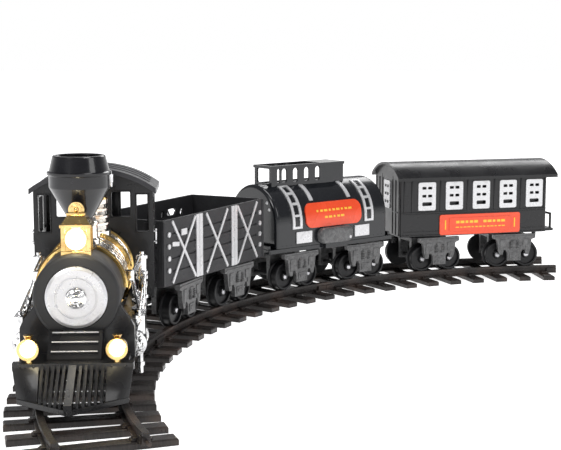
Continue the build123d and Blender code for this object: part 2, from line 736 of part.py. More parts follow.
with BuildPart() as loco_frame:
    with Locations((4, 0, deck_bottom)):
        Box(28, 62, deck_top - deck_bottom, align=standing)
    with BuildSketch(Plane.YZ.offset(-6.5)):
        with BuildLine():
            Polyline(
                (-33.5, deck_bottom), (-33.5, 51), (-31, 56), (-27, 61), (-22, 70),
                (22, 70), (27, 61), (31, 56), (33.5, 51), (33.5, deck_bottom),
                close=True,
            )
        make_face()
    extrude(amount=4.5)
    with BuildSketch(Plane.YZ.offset(-30)):
        with BuildLine():
            Polyline(
                (-15, deck_bottom), (-24, 44), (-22, 62), (22, 62), (24, 44), (15, deck_bottom),
                close=True,
            )
        make_face()
    extrude(amount=24)
    with Locations((smokebox_length / -2, 0, boiler_height)):
        with Locations(Rotation(0, 90, 0)):
            Cylinder(smokebox_radius + 0.06, smokebox_length + 20, mode=Mode.SUBTRACT)
    with BuildSketch(Plane.XZ):
        with BuildLine():
            Polyline(
                (17.9, deck_bottom), (17.9, 37.2), (5.1, 50.4), (0.2, 50.4), (0.2, 43.4), (-6, 43.4),
                (-6, deck_bottom),
                close=True,
            )
        make_face()
    extrude(amount=15.5, both=True)
    for rib_x, rib_height in ((15.2, 40.0), (10.8, 44.6), (6.4, 49.2)):
        with Locations(Location((rib_x, 0, rib_height), (0, -46, 0))):
            Box(1.0, 27, 2.0)
    for side in (1, -1):
        with Locations((-69, side * (spine_inner + spine_outer) / 2, spine_bottom)):
            Box(90, spine_outer - spine_inner, spine_top - spine_bottom, align=standing)
        with Locations((-136, side * (spine_inner + spine_outer) / 2, spine_top - 9)):
            Box(46, spine_outer - spine_inner, cab_floor_top - spine_top + 9, align=standing)
        with Locations((-60.5, side * 28.2, running_board_height)):
            Box(108.4, 9.6, 2.0, align=standing)
        with BuildSketch(Plane.YZ.offset(-45)):
            with BuildLine():
                Polyline(
                    (side * spine_inner, 32), (side * spine_inner, spine_top), (side * 17, spine_top),
                    (side * 25, 50), (side * 32, 50), (side * 32, 46.5), (side * 21, 32),
                    close=True,
                )
            make_face()
        extrude(amount=2.6)
        with Locations((-113.8, side * 28.2, cab_floor_bottom)):
            Box(2.4, 9.6, 3.4, align=standing)
    with Locations((-30, 0, 33)):
        Box(7, 2 * spine_outer, 10, align=standing)
    with Locations((-137.5, 0, cab_floor_bottom)):
        Box(45.4, 75, cab_floor_top - cab_floor_bottom, align=standing)
    with Locations((-150, 0, 40.6)):
        Box(4, 2 * spine_outer, 6.4, align=standing)
    box_front, box_back, box_half_width, box_top = battery_box
    with Locations(((box_front + box_back) / 2, 0, cab_floor_bottom)):
        Box(box_front - box_back, 2 * box_half_width, box_top - cab_floor_bottom, align=standing)
    with Locations(((box_front + box_back - box_wall - 0.02) / 2, 0, cab_floor_top + 1.4)):
        Box(
            box_front - box_back - box_wall + 0.02,
            2 * (box_half_width - box_wall),
            box_top - cab_floor_top - 1.4 - box_wall,
            align=standing,
            mode=Mode.SUBTRACT,
        )
    with Locations((-134, 1, box_top)):
        Box(2.8, 9.6, 8, mode=Mode.SUBTRACT)
    for side in (1, -1):
        with BuildSketch(Plane.XY.offset(cab_floor_top - 0.5)):
            with Locations((-152.6, side * 30.2)):
                Rectangle(5.2, 3.6)
            with Locations((-152.6, side * 28.6)):
                Rectangle(2.4, 2.6, mode=Mode.SUBTRACT)
        extrude(amount=box_top - cab_floor_top)
        for screw_x in cab_screw_x:
            with Locations((screw_x, side * cab_screw_y, cab_floor_bottom)):
                Cylinder(screw_radius + 0.1, 20, mode=Mode.SUBTRACT)
    with Locations((lead_pivot_x, 0, deck_bottom)):
        Cylinder(8, deck_bottom - 26.6, align=hanging)
        Cylinder(lead_pin_radius, deck_bottom - 21.0, align=hanging)
    with Locations((lead_pivot_x, 0, 22.6)):
        Cylinder(3.9, 1.8, align=hanging)
    add_coupler_pin(loco_pin_x, cab_floor_bottom + 0.5, False)
    for axle_x in (front_driver_x, rear_driver_x):
        axle_bore(axle_x, driver_axle_height, driver_axle_radius)

save(loco_frame, "loco_frame", loco_place)

# ---------------------------------------------------------------- pilot
beam_top = 36.0
beam_front = 25.3
pilot_half_width = 34.4
pilot_foot_half_width = 31.5
pilot_foot_front = 29.0
pilot_nose = 55.5
pilot_bottom = 13.8
pilot_bar_height = 3.0
slat_pitch = 3.1
slat_width = 1.7
slats_each_side = 5
panel_edge = 19.0


def pilot_foot(across):
    """Distance ahead of the smokebox front of the V-shaped foot bar."""
    return pilot_nose - (pilot_nose - pilot_foot_front) * abs(across) / pilot_foot_half_width


with BuildPart() as pilot:
    with Locations(((18.2 + beam_front) / 2, 0, beam_top)):
        Box(beam_front - 18.2, 2 * pilot_half_width, 4.0, align=hanging)
    fillet(pilot.edges().filter_by(Axis.Z).group_by(Axis.X)[-1], 1.5)
    with BuildSketch(Plane.XY.offset(pilot_bottom)):
        with BuildLine():
            Polyline(
                (pilot_foot_front, -pilot_foot_half_width),
                (pilot_nose, 0),
                (pilot_foot_front, pilot_foot_half_width),
                (pilot_foot_front - 4.4, pilot_foot_half_width),
                (pilot_nose - 4.6, 0),
                (pilot_foot_front - 4.4, -pilot_foot_half_width),
                close=True,
            )
        make_face()
    extrude(amount=pilot_bar_height)
    for number in range(-slats_each_side, slats_each_side + 1):
        across = number * slat_pitch + (1.5 if number > 0 else -1.5 if number < 0 else 0)
        width = 4.4 if number == 0 else slat_width
        foot = pilot_foot(across) - 0.6
        with BuildSketch(Plane.XZ.offset(-across)):
            with BuildLine():
                Polyline(
                    (beam_front - 3.4, beam_top - 0.6),
                    (beam_front - 0.2, beam_top - 0.6),
                    (foot, pilot_bottom + pilot_bar_height + 3),
                    (foot, pilot_bottom + 0.5),
                    (foot - 2.8, pilot_bottom + 0.5),
                    (beam_front - 3.4, beam_top - 7),
                    close=True,
                )
            make_face()
        extrude(amount=width / 2, both=True)
    for side in (1, -1):
        with BuildSketch(Plane.XY.offset(beam_top - 1.5)):
            with BuildLine():
                Polyline(
                    (beam_front - 2.6, side * panel_edge),
                    (beam_front - 0.2, side * panel_edge),
                    (beam_front - 0.2, side * (pilot_half_width - 0.2)),
                    (beam_front - 2.6, side * (pilot_half_width - 0.2)),
                    close=True,
                )
            make_face()
        with BuildSketch(Plane.XY.offset(pilot_bottom + 0.6)):
            with BuildLine():
                Polyline(
                    (pilot_foot(panel_edge) - 3.4, side * panel_edge),
                    (pilot_foot(panel_edge) - 0.8, side * panel_edge),
                    (pilot_foot_front - 0.4, side * (pilot_foot_half_width - 0.2)),
                    (pilot_foot_front - 3.0, side * (pilot_foot_half_width - 0.2)),
                    close=True,
                )
            make_face()
        loft(ruled=True)

save(pilot, "pilot", loco_place)

# ---------------------------------------------------------------- boiler
boiler_axis = Axis((0, 0, boiler_height), (1, 0, 0))
door_seat_radius = 18.7
chimney_hole_radius = 5.3


def turned_about_boiler(profile):
    """Revolve a profile of (distance ahead, radius) points about the boiler's axis."""
    with BuildSketch(Plane.XZ) as half:
        with BuildLine():
            Polyline(*[(ahead, boiler_height + radius) for ahead, radius in profile], close=True)
        make_face()
    return revolve(half.sketch, axis=boiler_axis, mode=Mode.PRIVATE)


with BuildPart() as boiler_shell:
    add(turned_about_boiler([
        (-2.2, door_seat_radius), (0, door_seat_radius), (0, smokebox_radius - 1.6),
        (-0.5, smokebox_radius - 0.5), (-1.6, smokebox_radius), (-smokebox_length, smokebox_radius),
        (-smokebox_length, boiler_radius), (boiler_end, boiler_radius), (boiler_end, boiler_radius - 2),
        (-smokebox_length - 2, boiler_radius - 2), (-smokebox_length, smokebox_radius - 2.2),
        (-2.2, smokebox_radius - 2.2),
    ]))
    with Locations((chimney_x, 0, boiler_height)):
        Cylinder(chimney_hole_radius, 60, align=standing, mode=Mode.SUBTRACT)

save(boiler_shell, "boiler_shell", loco_place)

with BuildPart() as boiler_jacket:
    for front, back in ((-smokebox_length - 0.3, -79.5), (-83.1, -109.8)):
        add(turned_about_boiler([
            (front, boiler_radius + 0.05), (front, jacket_radius - 0.4), (front - 0.4, jacket_radius),
            (back + 0.4, jacket_radius), (back, jacket_radius - 0.4), (back, boiler_radius + 0.05),
        ]))

save(boiler_jacket, "boiler_jacket", loco_place)

with BuildPart() as boiler_bands:
    for front, back, inner, outer in (
        (-30.6, -33.0, smokebox_radius + 0.05, 28.0),
        (-79.7, -82.9, boiler_radius + 0.05, 27.6),
        (-110.0, -113.0, boiler_radius + 0.05, 26.4),
    ):
        add(turned_about_boiler([
            (front, inner), (front, outer - 0.8), (front - 0.8, outer),
            (back + 0.8, outer), (back, outer - 0.8), (back, inner),
        ]))
    with Locations((chimney_x, 0, boiler_height)):
        Cylinder(9.4, 60, align=standing, mode=Mode.SUBTRACT)
    with Locations((steam_dome_x, 0, boiler_height)):
        Cylinder(13.5, 60, align=standing, mode=Mode.SUBTRACT)
    with Locations((-31.8, 0, boiler_height)):
        Box(10, 60, 60, align=hanging, mode=Mode.SUBTRACT)
    with Locations((-96, 0, 41)):
        Box(60, 33, 6.5, mode=Mode.SUBTRACT)

save(boiler_bands, "boiler_bands", loco_place)

with BuildPart() as smokebox_door:
    add(turned_about_boiler([
        (-1.8, 0), (3.4, 0), (3.4, 3.4), (2.6, 5.0), (1.2, 5.8), (1.0, 11.4),
        (0.5, 11.6), (0.5, 12.4), (1.0, 12.6), (1.2, 16.4), (0.2, 18.2), (-1.8, 18.2),
    ]))
    with Locations(Location((3.4, 0, boiler_height), (0, 90, 0))):
        Cylinder(1.9, 3.2)
    for turn in (20, 140, 260):
        with Locations(Location((2.6, 0, boiler_height), (turn, 0, 0))):
            with Locations((0, 2.6, 0)):
                Box(2.2, 4.4, 1.3)

save(smokebox_door, "smokebox_door", loco_place)

# ---------------------------------------------------------------- chimney and domes
def turned_upright(x, profile):
    """Revolve a profile of (radius, height) points about an upright line on the centre."""
    with BuildSketch(Plane.XZ) as half:
        with BuildLine():
            Polyline(*[(x + radius, height) for radius, height in profile], close=True)
        make_face()
    return revolve(half.sketch, axis=Axis((x, 0, 0), (0, 0, 1)), mode=Mode.PRIVATE)


with BuildPart() as chimney:
    add(turned_upright(chimney_x, [
        (5.0, 84), (9.0, 84), (9.0, 96.2), (7.4, 98.4), (7.2, 111.6), (8.0, 112.6), (18.2, 130.6),
        (18.2, 137.6), (19.4, 138.4), (19.4, 139.8), (18.0, 140.4), (15.9, 149.0), (15.3, 149.6),
        (14.0, 149.6), (13.4, 148.8), (13.4, 139.0), (5.0, 128.0),
    ]))
    with Locations(Location((chimney_x, 0, boiler_height), (0, 90, 0))):
        Cylinder(smokebox_radius + 0.04, 40, mode=Mode.SUBTRACT)

save(chimney, "chimney", loco_place)

with BuildPart() as boiler_domes:
    add(turned_upright(sand_dome_x, [
        (0, 86), (9.4, 86), (9.4, 95.4), (8.2, 96.4), (8.0, 104.0), (8.8, 104.6), (8.8, 106.0),
        (7.6, 106.8), (6.4, 109.4), (4.0, 111.2), (1.8, 111.9), (1.6, 113.6), (0, 114.0),
    ]))
    add(turned_upright(steam_dome_x, [
        (0, 86), (13.2, 86), (13.2, 96.0), (11.4, 97.0), (11.2, 99.4), (12.6, 100.0), (12.6, 101.4),
        (11.2, 102.0), (11.0, 104.0), (12.2, 104.6), (12.2, 106.0), (10.8, 106.6), (10.4, 108.6),
        (11.8, 109.2), (11.8, 110.6), (10.2, 111.2), (10.0, 113.0), (11.5, 113.6), (11.5, 116.4),
        (9.6, 118.0), (6.0, 120.4), (2.2, 121.4), (1.8, 123.2), (0, 123.6),
    ]))
    with Locations(Location((-75, 0, boiler_height), (0, 90, 0))):
        Cylinder(jacket_radius + 0.04, 100, mode=Mode.SUBTRACT)

save(boiler_domes, "boiler_domes", loco_place)

# ---------------------------------------------------------------- lamps
headlamp_x = -12.0
headlamp_lens_height = 102.6
headlamp_lens_radius = 6.0
side_lamp_x = 22.8
side_lamp_across = 25.0
side_lamp_height = 44.2
side_lamp_radius = 5.6
side_lens_radius = 4.6

with BuildPart() as lamp_cases:
    with Locations((headlamp_x, 0, 90)):
        Box(16, 17.4, 5.6, align=standing)
    with Locations(Location((headlamp_x, 0, boiler_height), (0, 90, 0))):
        Cylinder(smokebox_radius + 0.04, 30, mode=Mode.SUBTRACT)
    with Locations((headlamp_x, 0, 95.4)):
        Box(13.6, 15.4, 14.2, align=standing)
    for corner_y in (-7.4, 7.4):
        for corner_x in (-6.2, 6.2):
            with Locations((headlamp_x + corner_x, corner_y, 95.4)):
                Box(2.4, 2.4, 14.2, align=standing)
    with Locations((headlamp_x, 0, 109.4)):
        Box(17.0, 18.6, 1.8, align=standing)
    with BuildSketch(Plane.XY.offset(111.2)):
        with Locations((headlamp_x, 0)):
            Rectangle(15.2, 16.8)
    with BuildSketch(Plane.XY.offset(116.6)):
        with Locations((headlamp_x, 0)):
            Rectangle(8.4, 10.0)
    loft()
    with Locations((headlamp_x, 0, 116.5)):
        Box(9.4, 11.0, 1.2, align=standing)
    with BuildSketch(Plane.YZ.offset(headlamp_x)):
        with Locations((0, 119.2)):
            Circle(4.7)
    extrude(amount=1.3, both=True)
    with BuildSketch(Plane.YZ.offset(headlamp_x + 1.3)):
        with Locations((0, 119.4)):
            Circle(3.4)
            Circle(2.5, mode=Mode.SUBTRACT)
    extrude(amount=0.7)
    with Locations((headlamp_x + 1.6, 0, 119.4)):
        Sphere(1.5)
    with Locations(Location((headlamp_x + 6.8, 0, headlamp_lens_height), (0, 90, 0))):
        Cylinder(headlamp_lens_radius + 1.0, 2.0)
        Cylinder(headlamp_lens_radius + 0.05, 5.0, mode=Mode.SUBTRACT)
    for side in (1, -1):
        with Locations((side_lamp_x - 0.6, side * side_lamp_across, beam_top + 0.02)):
            Cylinder(2.0, 3.3, align=standing)
        with Locations(Location((side_lamp_x - 0.4, side * side_lamp_across, side_lamp_height), (0, 90, 0))):
            Cylinder(side_lamp_radius, 7.2)
            with Locations((0, 0, 3.2)):
                Cylinder(side_lamp_radius + 0.6, 1.2)
            with Locations((0, 0, 3.6)):
                Cylinder(side_lens_radius + 0.05, 4.0, mode=Mode.SUBTRACT)
        lamp_top = side_lamp_height + side_lamp_radius
        with Locations((side_lamp_x - 0.6, side * side_lamp_across, lamp_top - 0.5)):
            Cone(1.5, 2.9, 2.8, align=standing)

save(lamp_cases, "lamp_cases", loco_place)

with BuildPart() as lamp_lenses:
    with Locations(Location((headlamp_x + 6.6, 0, headlamp_lens_height), (0, 90, 0))):
        Cylinder(headlamp_lens_radius, 3.8)
    for side in (1, -1):
        with Locations(Location((side_lamp_x + 2.6, side * side_lamp_across, side_lamp_height), (0, 90, 0))):
            Cylinder(side_lens_radius, 2.4)
    fillet(lamp_lenses.edges().filter_by(GeomType.CIRCLE).group_by(Axis.X)[-1], 1.2)

save(lamp_lenses, "lamp_lenses", loco_place)

# ---------------------------------------------------------------- cab
cab_wall = 2.0
cab_side_inset = 1.5           # the front wall stands out past the side walls by this
cab_bottom = 46.0
cab_roof_thickness = 2.4
cab_arch = roof_arc(cab_width / 2, cab_eaves, cab_crown)
cab_middle = (cab_front_x + cab_back_x) / 2
cab_length = cab_front_x - cab_back_x

with BuildPart() as cab_body:
    with BuildSketch(Plane.YZ.offset(cab_back_x)):
        with Locations((0, cab_crown - cab_arch)):
            Circle(cab_arch)
        with Locations((0, cab_bottom)):
            Rectangle(cab_width, cab_crown - cab_bottom, align=(Align.CENTER, Align.MIN), mode=Mode.INTERSECT)
    extrude(amount=cab_length)
    with Locations((cab_middle, 0, cab_bottom)):
        Box(
            cab_length + 10,
            cab_width - 2 * cab_wall,
            cab_floor_top + 0.1 - cab_bottom,
            align=standing,
            mode=Mode.SUBTRACT,
        )
        Box(
            cab_length - 2 * cab_wall,
            cab_width - 2 * cab_wall - 2 * cab_side_inset,
            100,
            align=standing,
            mode=Mode.SUBTRACT,
        )
    for side in (1, -1):
        with Locations((cab_back_x - 5, side * (cab_width / 2 - cab_side_inset), cab_bottom - 1)):
            outward = Align.MIN if side > 0 else Align.MAX
            Box(
                cab_length + 5 - cab_wall,
                5,
                100,
                align=(Align.MIN, outward, Align.MIN),
                mode=Mode.SUBTRACT,
            )
    with Locations((cab_back_x, 0, cab_bottom)):
        Box(10, 67, 114 - cab_bottom, align=standing, mode=Mode.SUBTRACT)
    for side in (1, -1):
        with BuildSketch(Plane.YZ.offset(cab_front_x)):
            with Locations((side * 32.7, 103.8)):
                RectangleRounded(7.8, 24.8, 0.8)
            with Locations((side * 18.3, 109.8)):
                RectangleRounded(12.4, 16.6, 0.8)
        extrude(amount=5, both=True, mode=Mode.SUBTRACT)
    with BuildSketch(Plane.XZ):
        with Locations((cab_middle + 10.2, 102), (cab_middle - 9.8, 102)):
            RectangleRounded(15.2, 24, 1.2)
    extrude(amount=60, both=True, mode=Mode.SUBTRACT)
    for side in (1, -1):
        for screw_x in cab_screw_x:
            with Locations((screw_x, side * cab_screw_y, cab_floor_top + 0.1)):
                Cylinder(2.9, 9.4, align=standing)
                Cylinder(screw_radius + press_gap, 8, align=standing, mode=Mode.SUBTRACT)

save(cab_body, "cab_body", loco_place)

with BuildPart() as cab_roof:
    with BuildSketch(Plane.YZ.offset(cab_back_x - 2.5)):
        with Locations((0, cab_crown - cab_arch)):
            Circle(cab_arch + cab_roof_thickness)
            Circle(cab_arch + 0.05, mode=Mode.SUBTRACT)
        with Locations((0, cab_eaves - 8)):
            Rectangle(84, 40, align=(Align.CENTER, Align.MIN), mode=Mode.INTERSECT)
    extrude(amount=cab_length + 8)
    with BuildSketch(Plane.YZ.offset(cab_front_x + 3.5)):
        with Locations((0, cab_crown - cab_arch)):
            Circle(cab_arch + cab_roof_thickness + 0.7)
            Circle(cab_arch + 0.05, mode=Mode.SUBTRACT)
        with Locations((0, cab_eaves - 8)):
            Rectangle(84, 40, align=(Align.CENTER, Align.MIN), mode=Mode.INTERSECT)
    extrude(amount=2)

save(cab_roof, "cab_roof", loco_place)

# ---------------------------------------------------------------- chrome side gear
gear_across = 32.2
cylinder_height = 38.6
cylinder_radius = 7.0
pump_x = -88.0
pump_across = 33.2


def rod_between(start, end, radius):
    """Round bar between two points."""
    start_point = Vector(*start)
    along = Vector(*end) - start_point
    plane = Plane(origin=start_point, z_dir=along)
    rod = Cylinder(radius, along.length, align=standing, mode=Mode.PRIVATE)
    return plane.location * rod


with BuildPart() as side_gear:
    for side in (1, -1):
        with Locations(Location((-24, side * gear_across, cylinder_height), (0, 90, 0))):
            Cylinder(cylinder_radius, 24)
            with Locations((0, 0, 12), (0, 0, -12)):
                Cylinder(cylinder_radius + 0.8, 2.2)
            with Locations((0, 0, 13.4)):
                Cylinder(3.0, 2.4)
        with Locations((-24, side * 32.5, 44)):
            Box(20, 11, 5.2, align=standing)
        with Locations((-24, side * 36.1, 44)):
            Box(20, 5.4, 11, align=standing)
        with Locations((-13.6, side * 36.0, 20.5)):
            Cylinder(1.5, 14, align=standing)
        with Locations((-13.6, side * 36.0, 25)):
            Cylinder(2.3, 2.2, align=standing)
        for bar_height in (35.6, 41.6):
            with Locations((-49.5, side * 34.0, bar_height)):
                Box(27, 2.2, 1.8)
        with Locations((-51.5, side * 34.6, 38.6)):
            Box(6, 3.6, 7.6)
        with Locations((-63, side * 34.2, 33.4)):
            Box(2.2, 4.4, 16, align=standing)
        with Locations((-73.5, side * 34.1, 47.6)):
            Box(78, 1.8, 5.0, align=standing)
        for hanger_x in (-72, -80, -96, -104):
            with Locations((hanger_x, side * 34.4, 42.6)):
                Box(1.8, 1.6, 6, align=standing)
        with Locations((-88, side * 34.4, 43.2)):
            Box(34, 1.8, 1.8)
        with Locations((pump_x, side * pump_across, 51.6)):
            Cylinder(3.0, 28.4, align=standing)
            Cylinder(1.5, 30.4, align=standing)
            for collar in (0, 12.6, 15.6, 26):
                with Locations((0, 0, collar)):
                    Cylinder(3.9, 2.0, align=standing)
        with Locations((-46, side * 28.2, 71)):
            Box(5, 5.4, 6, align=standing)
        add(rod_between((-36, side * 36, 51), (-87, side * 35, 68), 1.4))
        add(rod_between((-46, side * 29.4, 74), (-87, side * 32.2, 75), 1.2))
        add(rod_between((-40, side * 35, 47), (-64, side * 34.6, 44.5), 1.2))
        add(rod_between((-46, side * 29.6, 72), (-36, side * 34.6, 53), 1.3))
        with Locations((cab_front_x - 5.0, side * 41.0, 82.4)):
            Cylinder(0.8, 10, align=standing)
        for grip_height in (84, 91):
            with Locations(Location((cab_front_x - 5.0, side * 40.0, grip_height), (90, 0, 0))):
                Cylinder(1.0, 3.36)
    with Locations((-107.2, 12.7, 122.4)):
        Cylinder(1.1, 4, align=standing)
        with Locations((0, 0, 3)):
            Cylinder(1.7, 5.4, align=standing)
        with Locations((0, 0, 8.2)):
            Cylinder(0.8, 1.6, align=standing)
    with Locations(Location((-110.9, 12.7, 123.4), (0, 90, 0))):
        Cylinder(0.9, 8.0)

save(side_gear, "side_gear", loco_place)

# ---------------------------------------------------------------- leading truck
lead_place = truck_place(loco_place, lead_pivot_x)

with BuildPart() as lead_truck:
    with Locations((0, 0, 22.8)):
        Box(31, 14, 3.4, align=standing)
    with GridLocations(1, 22, 1, 2):
        with Locations((0, 0, 22.8)):
            Box(32, 4, 3.4, align=standing)
    with Locations((0, 0, 22.8)):
        Box(8, 24, 3.4, align=standing)
    with GridLocations(lead_axle_spacing, 22, 2, 2):
        with Locations((0, 0, 26.2)):
            Box(6.4, 4, 9.2, align=hanging)
    with GridLocations(lead_axle_spacing, 1, 2, 1):
        with Locations(Location((0, 0, lead_axle_height), (90, 0, 0))):
            Cylinder(lead_axle_radius + running_fit, 40, mode=Mode.SUBTRACT)
    Cylinder(lead_pin_radius + running_fit, 200, mode=Mode.SUBTRACT)

save(lead_truck, "lead_truck", lead_place)
save_wheelsets(
    "lead_wheelset",
    lead_wheel_radius,
    lead_axle_radius,
    tread_end + 0.8,
    lead_place,
    lead_axle_spacing,
)

# ---------------------------------------------------------------- driving wheels
crank_pin_radius = 1.25
crank_pin_end = 31.0
driver_face = 26.6
blind_wheel_back = 19.4
spoke_count = 10


def driver_wheelset(back, flanged):
    """Spoked driving wheels with crank pins straight down, on an axle along Y."""
    rim = driver_radius - 2.8
    flange = flange_depth if flanged else 0.0
    with BuildPart() as pair:
        for side in (1, -1):
            with BuildSketch(Plane.YZ):
                with BuildLine():
                    Polyline(
                        (side * back, rim), (side * back, driver_radius + flange),
                        (side * (back + flange_width), driver_radius + flange),
                        (side * (back + flange_width + 0.01), driver_radius),
                        (side * (driver_face - 0.4), driver_radius),
                        (side * driver_face, driver_radius - 0.4), (side * driver_face, rim),
                        close=True,
                    )
                make_face()
                with Locations((side * (back + driver_face + 0.8) / 2, 3.0)):
                    Rectangle(driver_face + 0.8 - back, 4.4)
            revolve(axis=Axis.Y)
            middle = side * (back + driver_face) / 2
            with Locations(Location((0, middle, 0), (90, 0, 0))):
                with PolarLocations((rim + 4) / 2, spoke_count, 360 / spoke_count / 2):
                    Box(rim - 2.8, 2.0, 3.2)
            with BuildSketch(Plane.XZ.offset(-middle)):
                Circle(rim + 0.2)
                with Locations((0, 9.6)):
                    Rectangle(24, 12, align=(Align.CENTER, Align.MIN), mode=Mode.INTERSECT)
            extrude(amount=1.9, both=True)
            with Locations(Location((0, side * (driver_face - 1.8), -crank_radius), (90, 0, 0))):
                Cylinder(3.3, 5.0)
            pin_middle = side * (driver_face + crank_pin_end - 2) / 2
            with Locations(Location((0, pin_middle, -crank_radius), (90, 0, 0))):
                Cylinder(crank_pin_radius, crank_pin_end - driver_face + 2)
        with Locations(Rotation(90, 0, 0)):
            Cylinder(driver_axle_radius + press_gap, 100, mode=Mode.SUBTRACT)
            Cylinder(driver_axle_radius, 2 * driver_face)
    return pair


for end, axle_x, back, flanged in (
    ("front", front_driver_x, wheel_back, True),
    ("rear", rear_driver_x, blind_wheel_back, False),
):
    axle_place = loco_place * Location((axle_x, 0, driver_axle_height))
    save(driver_wheelset(back, flanged), f"driver_wheelset_{end}", axle_place)

rod_inner = 28.4
rod_thickness = 2.0

with BuildPart() as side_rods:
    for side in (1, -1):
        with BuildSketch(Plane.XZ.offset(-side * rod_inner)):
            for pin_x in (front_driver_x, rear_driver_x):
                with Locations((pin_x, driver_axle_height - crank_radius)):
                    Circle(2.9)
            with Locations(((front_driver_x + rear_driver_x) / 2, driver_axle_height - crank_radius)):
                Rectangle(front_driver_x - rear_driver_x, 3.4)
            with Locations((front_driver_x, driver_axle_height - crank_radius)):
                Circle(crank_pin_radius + running_fit, mode=Mode.SUBTRACT)
            with Locations((rear_driver_x, driver_axle_height - crank_radius)):
                Circle(crank_pin_radius + 0.35, mode=Mode.SUBTRACT)
        extrude(amount=-side * rod_thickness)

save(side_rods, "side_rods", loco_place)

# ---------------------------------------------------------------- works inside
with BuildPart() as gear_motor:
    with Locations((front_driver_x, 0, 20.4)):
        Box(17, 22.6, 20, align=standing)
    fillet(gear_motor.edges().filter_by(Axis.Y), 1.5)
    with Locations(Location((-86, 0, 31), (0, 90, 0))):
        Cylinder(9.4, 26)
        with Locations((0, 0, -13.6)):
            Cylinder(3.4, 2.4)
    axle_bore(front_driver_x, driver_axle_height, driver_axle_radius)

save(gear_motor, "gear_motor", loco_place)

cell_radius = 7.1
cell_length = 49.0

with BuildPart() as battery_cells:
    for cell_x in (-128.2, -142.8):
        for cell_height in (57.3, 71.9):
            with Locations(Location((cell_x, 0, cell_height), (90, 0, 0))):
                Cylinder(cell_radius, cell_length)
                with Locations((0, 0, cell_length / 2 + 0.5)):
                    Cylinder(2.7, 1.2)

save(battery_cells, "battery_cells", loco_place)

with BuildPart() as battery_cover:
    with Locations((-152.6, 0, 49.2)):
        Box(2.0, 59.0, 34.2, align=standing)
    with Locations((-154.2, 0, 77)):
        Box(1.6, 22, 2.4)
    for rib in range(4):
        with Locations((-153.8, 0, 56 + 4 * rib)):
            Box(0.8, 30, 1.2)

save(battery_cover, "battery_cover", loco_place)

with BuildPart() as power_switch:
    with Locations((-134, -1.6, 83.3)):
        Box(5.4, 6.0, 4.0, align=standing)
    chamfer(power_switch.edges().group_by(Axis.Z)[-1], 0.8)
    with Locations((-134, -1.6, 80.4)):
        Box(2.2, 3.6, 3.2, align=standing)
        Box(6.0, 5.0, 0.8, align=standing)

save(power_switch, "power_switch", loco_place)

with BuildPart() as smoke_unit:
    with Locations((chimney_x, 0, 60)):
        Cylinder(8.5, 20, align=standing)
        Cylinder(4.2, 40, align=standing)
        Cylinder(3.2, 60, align=standing, mode=Mode.SUBTRACT)
        Cylinder(8.5, 3, align=standing)
        Box(7, 11, 13.4, align=hanging)

save(smoke_unit, "smoke_unit", loco_place)

with BuildPart() as cab_screws:
    for side in (1, -1):
        for screw_x in cab_screw_x:
            with Locations((screw_x, side * cab_screw_y, cab_floor_bottom - 0.05)):
                Cylinder(2.3, 1.6, align=hanging)
                Cylinder(screw_radius, 9.4, align=standing)
            with Locations((screw_x, side * cab_screw_y, cab_floor_bottom - 1.6)):
                Box(3.2, 0.7, 1.2, mode=Mode.SUBTRACT)
                Box(0.7, 3.2, 1.2, mode=Mode.SUBTRACT)

save(cab_screws, "cab_screws", loco_place)

# ---------------------------------------------------------------- couplings between vehicles
save_drawbar("gondola_drawbar", gondola_place, gondola_length / 2 - 4.5, loco_place, loco_pin_x)
save_drawbar("tank_drawbar", tank_place, tank_length / 2 - 4.5, gondola_place, 4.5 - gondola_length / 2)
save_drawbar("coach_drawbar", coach_place, coach_front - 4.5, tank_place, 4.5 - tank_length / 2)
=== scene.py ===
import json
from math import cos, pi, radians, sin

import bmesh
import bpy
from mathutils import Matrix, Vector

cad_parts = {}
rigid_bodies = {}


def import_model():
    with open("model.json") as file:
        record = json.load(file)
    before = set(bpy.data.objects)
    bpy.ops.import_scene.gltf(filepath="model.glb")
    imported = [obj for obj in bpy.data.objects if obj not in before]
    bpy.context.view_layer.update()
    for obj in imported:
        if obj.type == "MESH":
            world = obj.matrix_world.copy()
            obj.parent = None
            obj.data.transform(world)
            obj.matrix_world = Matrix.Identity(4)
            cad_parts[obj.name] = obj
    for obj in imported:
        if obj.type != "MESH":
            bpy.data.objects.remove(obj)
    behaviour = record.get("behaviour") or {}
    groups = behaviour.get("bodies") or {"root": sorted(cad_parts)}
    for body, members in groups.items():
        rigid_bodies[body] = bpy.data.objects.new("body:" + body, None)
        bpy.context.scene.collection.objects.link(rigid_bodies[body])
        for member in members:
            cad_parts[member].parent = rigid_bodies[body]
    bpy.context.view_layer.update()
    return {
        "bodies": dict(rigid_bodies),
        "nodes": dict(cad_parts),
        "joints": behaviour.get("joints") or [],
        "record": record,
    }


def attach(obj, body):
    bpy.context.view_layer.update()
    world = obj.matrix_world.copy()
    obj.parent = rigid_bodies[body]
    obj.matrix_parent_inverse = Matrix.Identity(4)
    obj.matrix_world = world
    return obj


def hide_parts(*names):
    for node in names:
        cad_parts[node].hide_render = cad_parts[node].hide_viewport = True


# Toy steam train with an open wagon, a tank car and a coach on a curve of track.
# Lengths below are in millimetres and are measured in each vehicle's own frame:
# X towards its nose, Y to its left, Z up from the floor.

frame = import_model()
nodes = frame["nodes"]
joints = {joint["name"]: joint for joint in frame["joints"]}
slot_of_node = {part["node"]: part["material_slot"] for part in frame["record"]["subparts"]}

MM = 0.001
UP = Vector((0, 0, 1))
SIDES = (1, -1)

# ---------------------------------------------------------------- places
DRIVER_AXLE_X = -66.0
FULL_TURN = 2 * pi


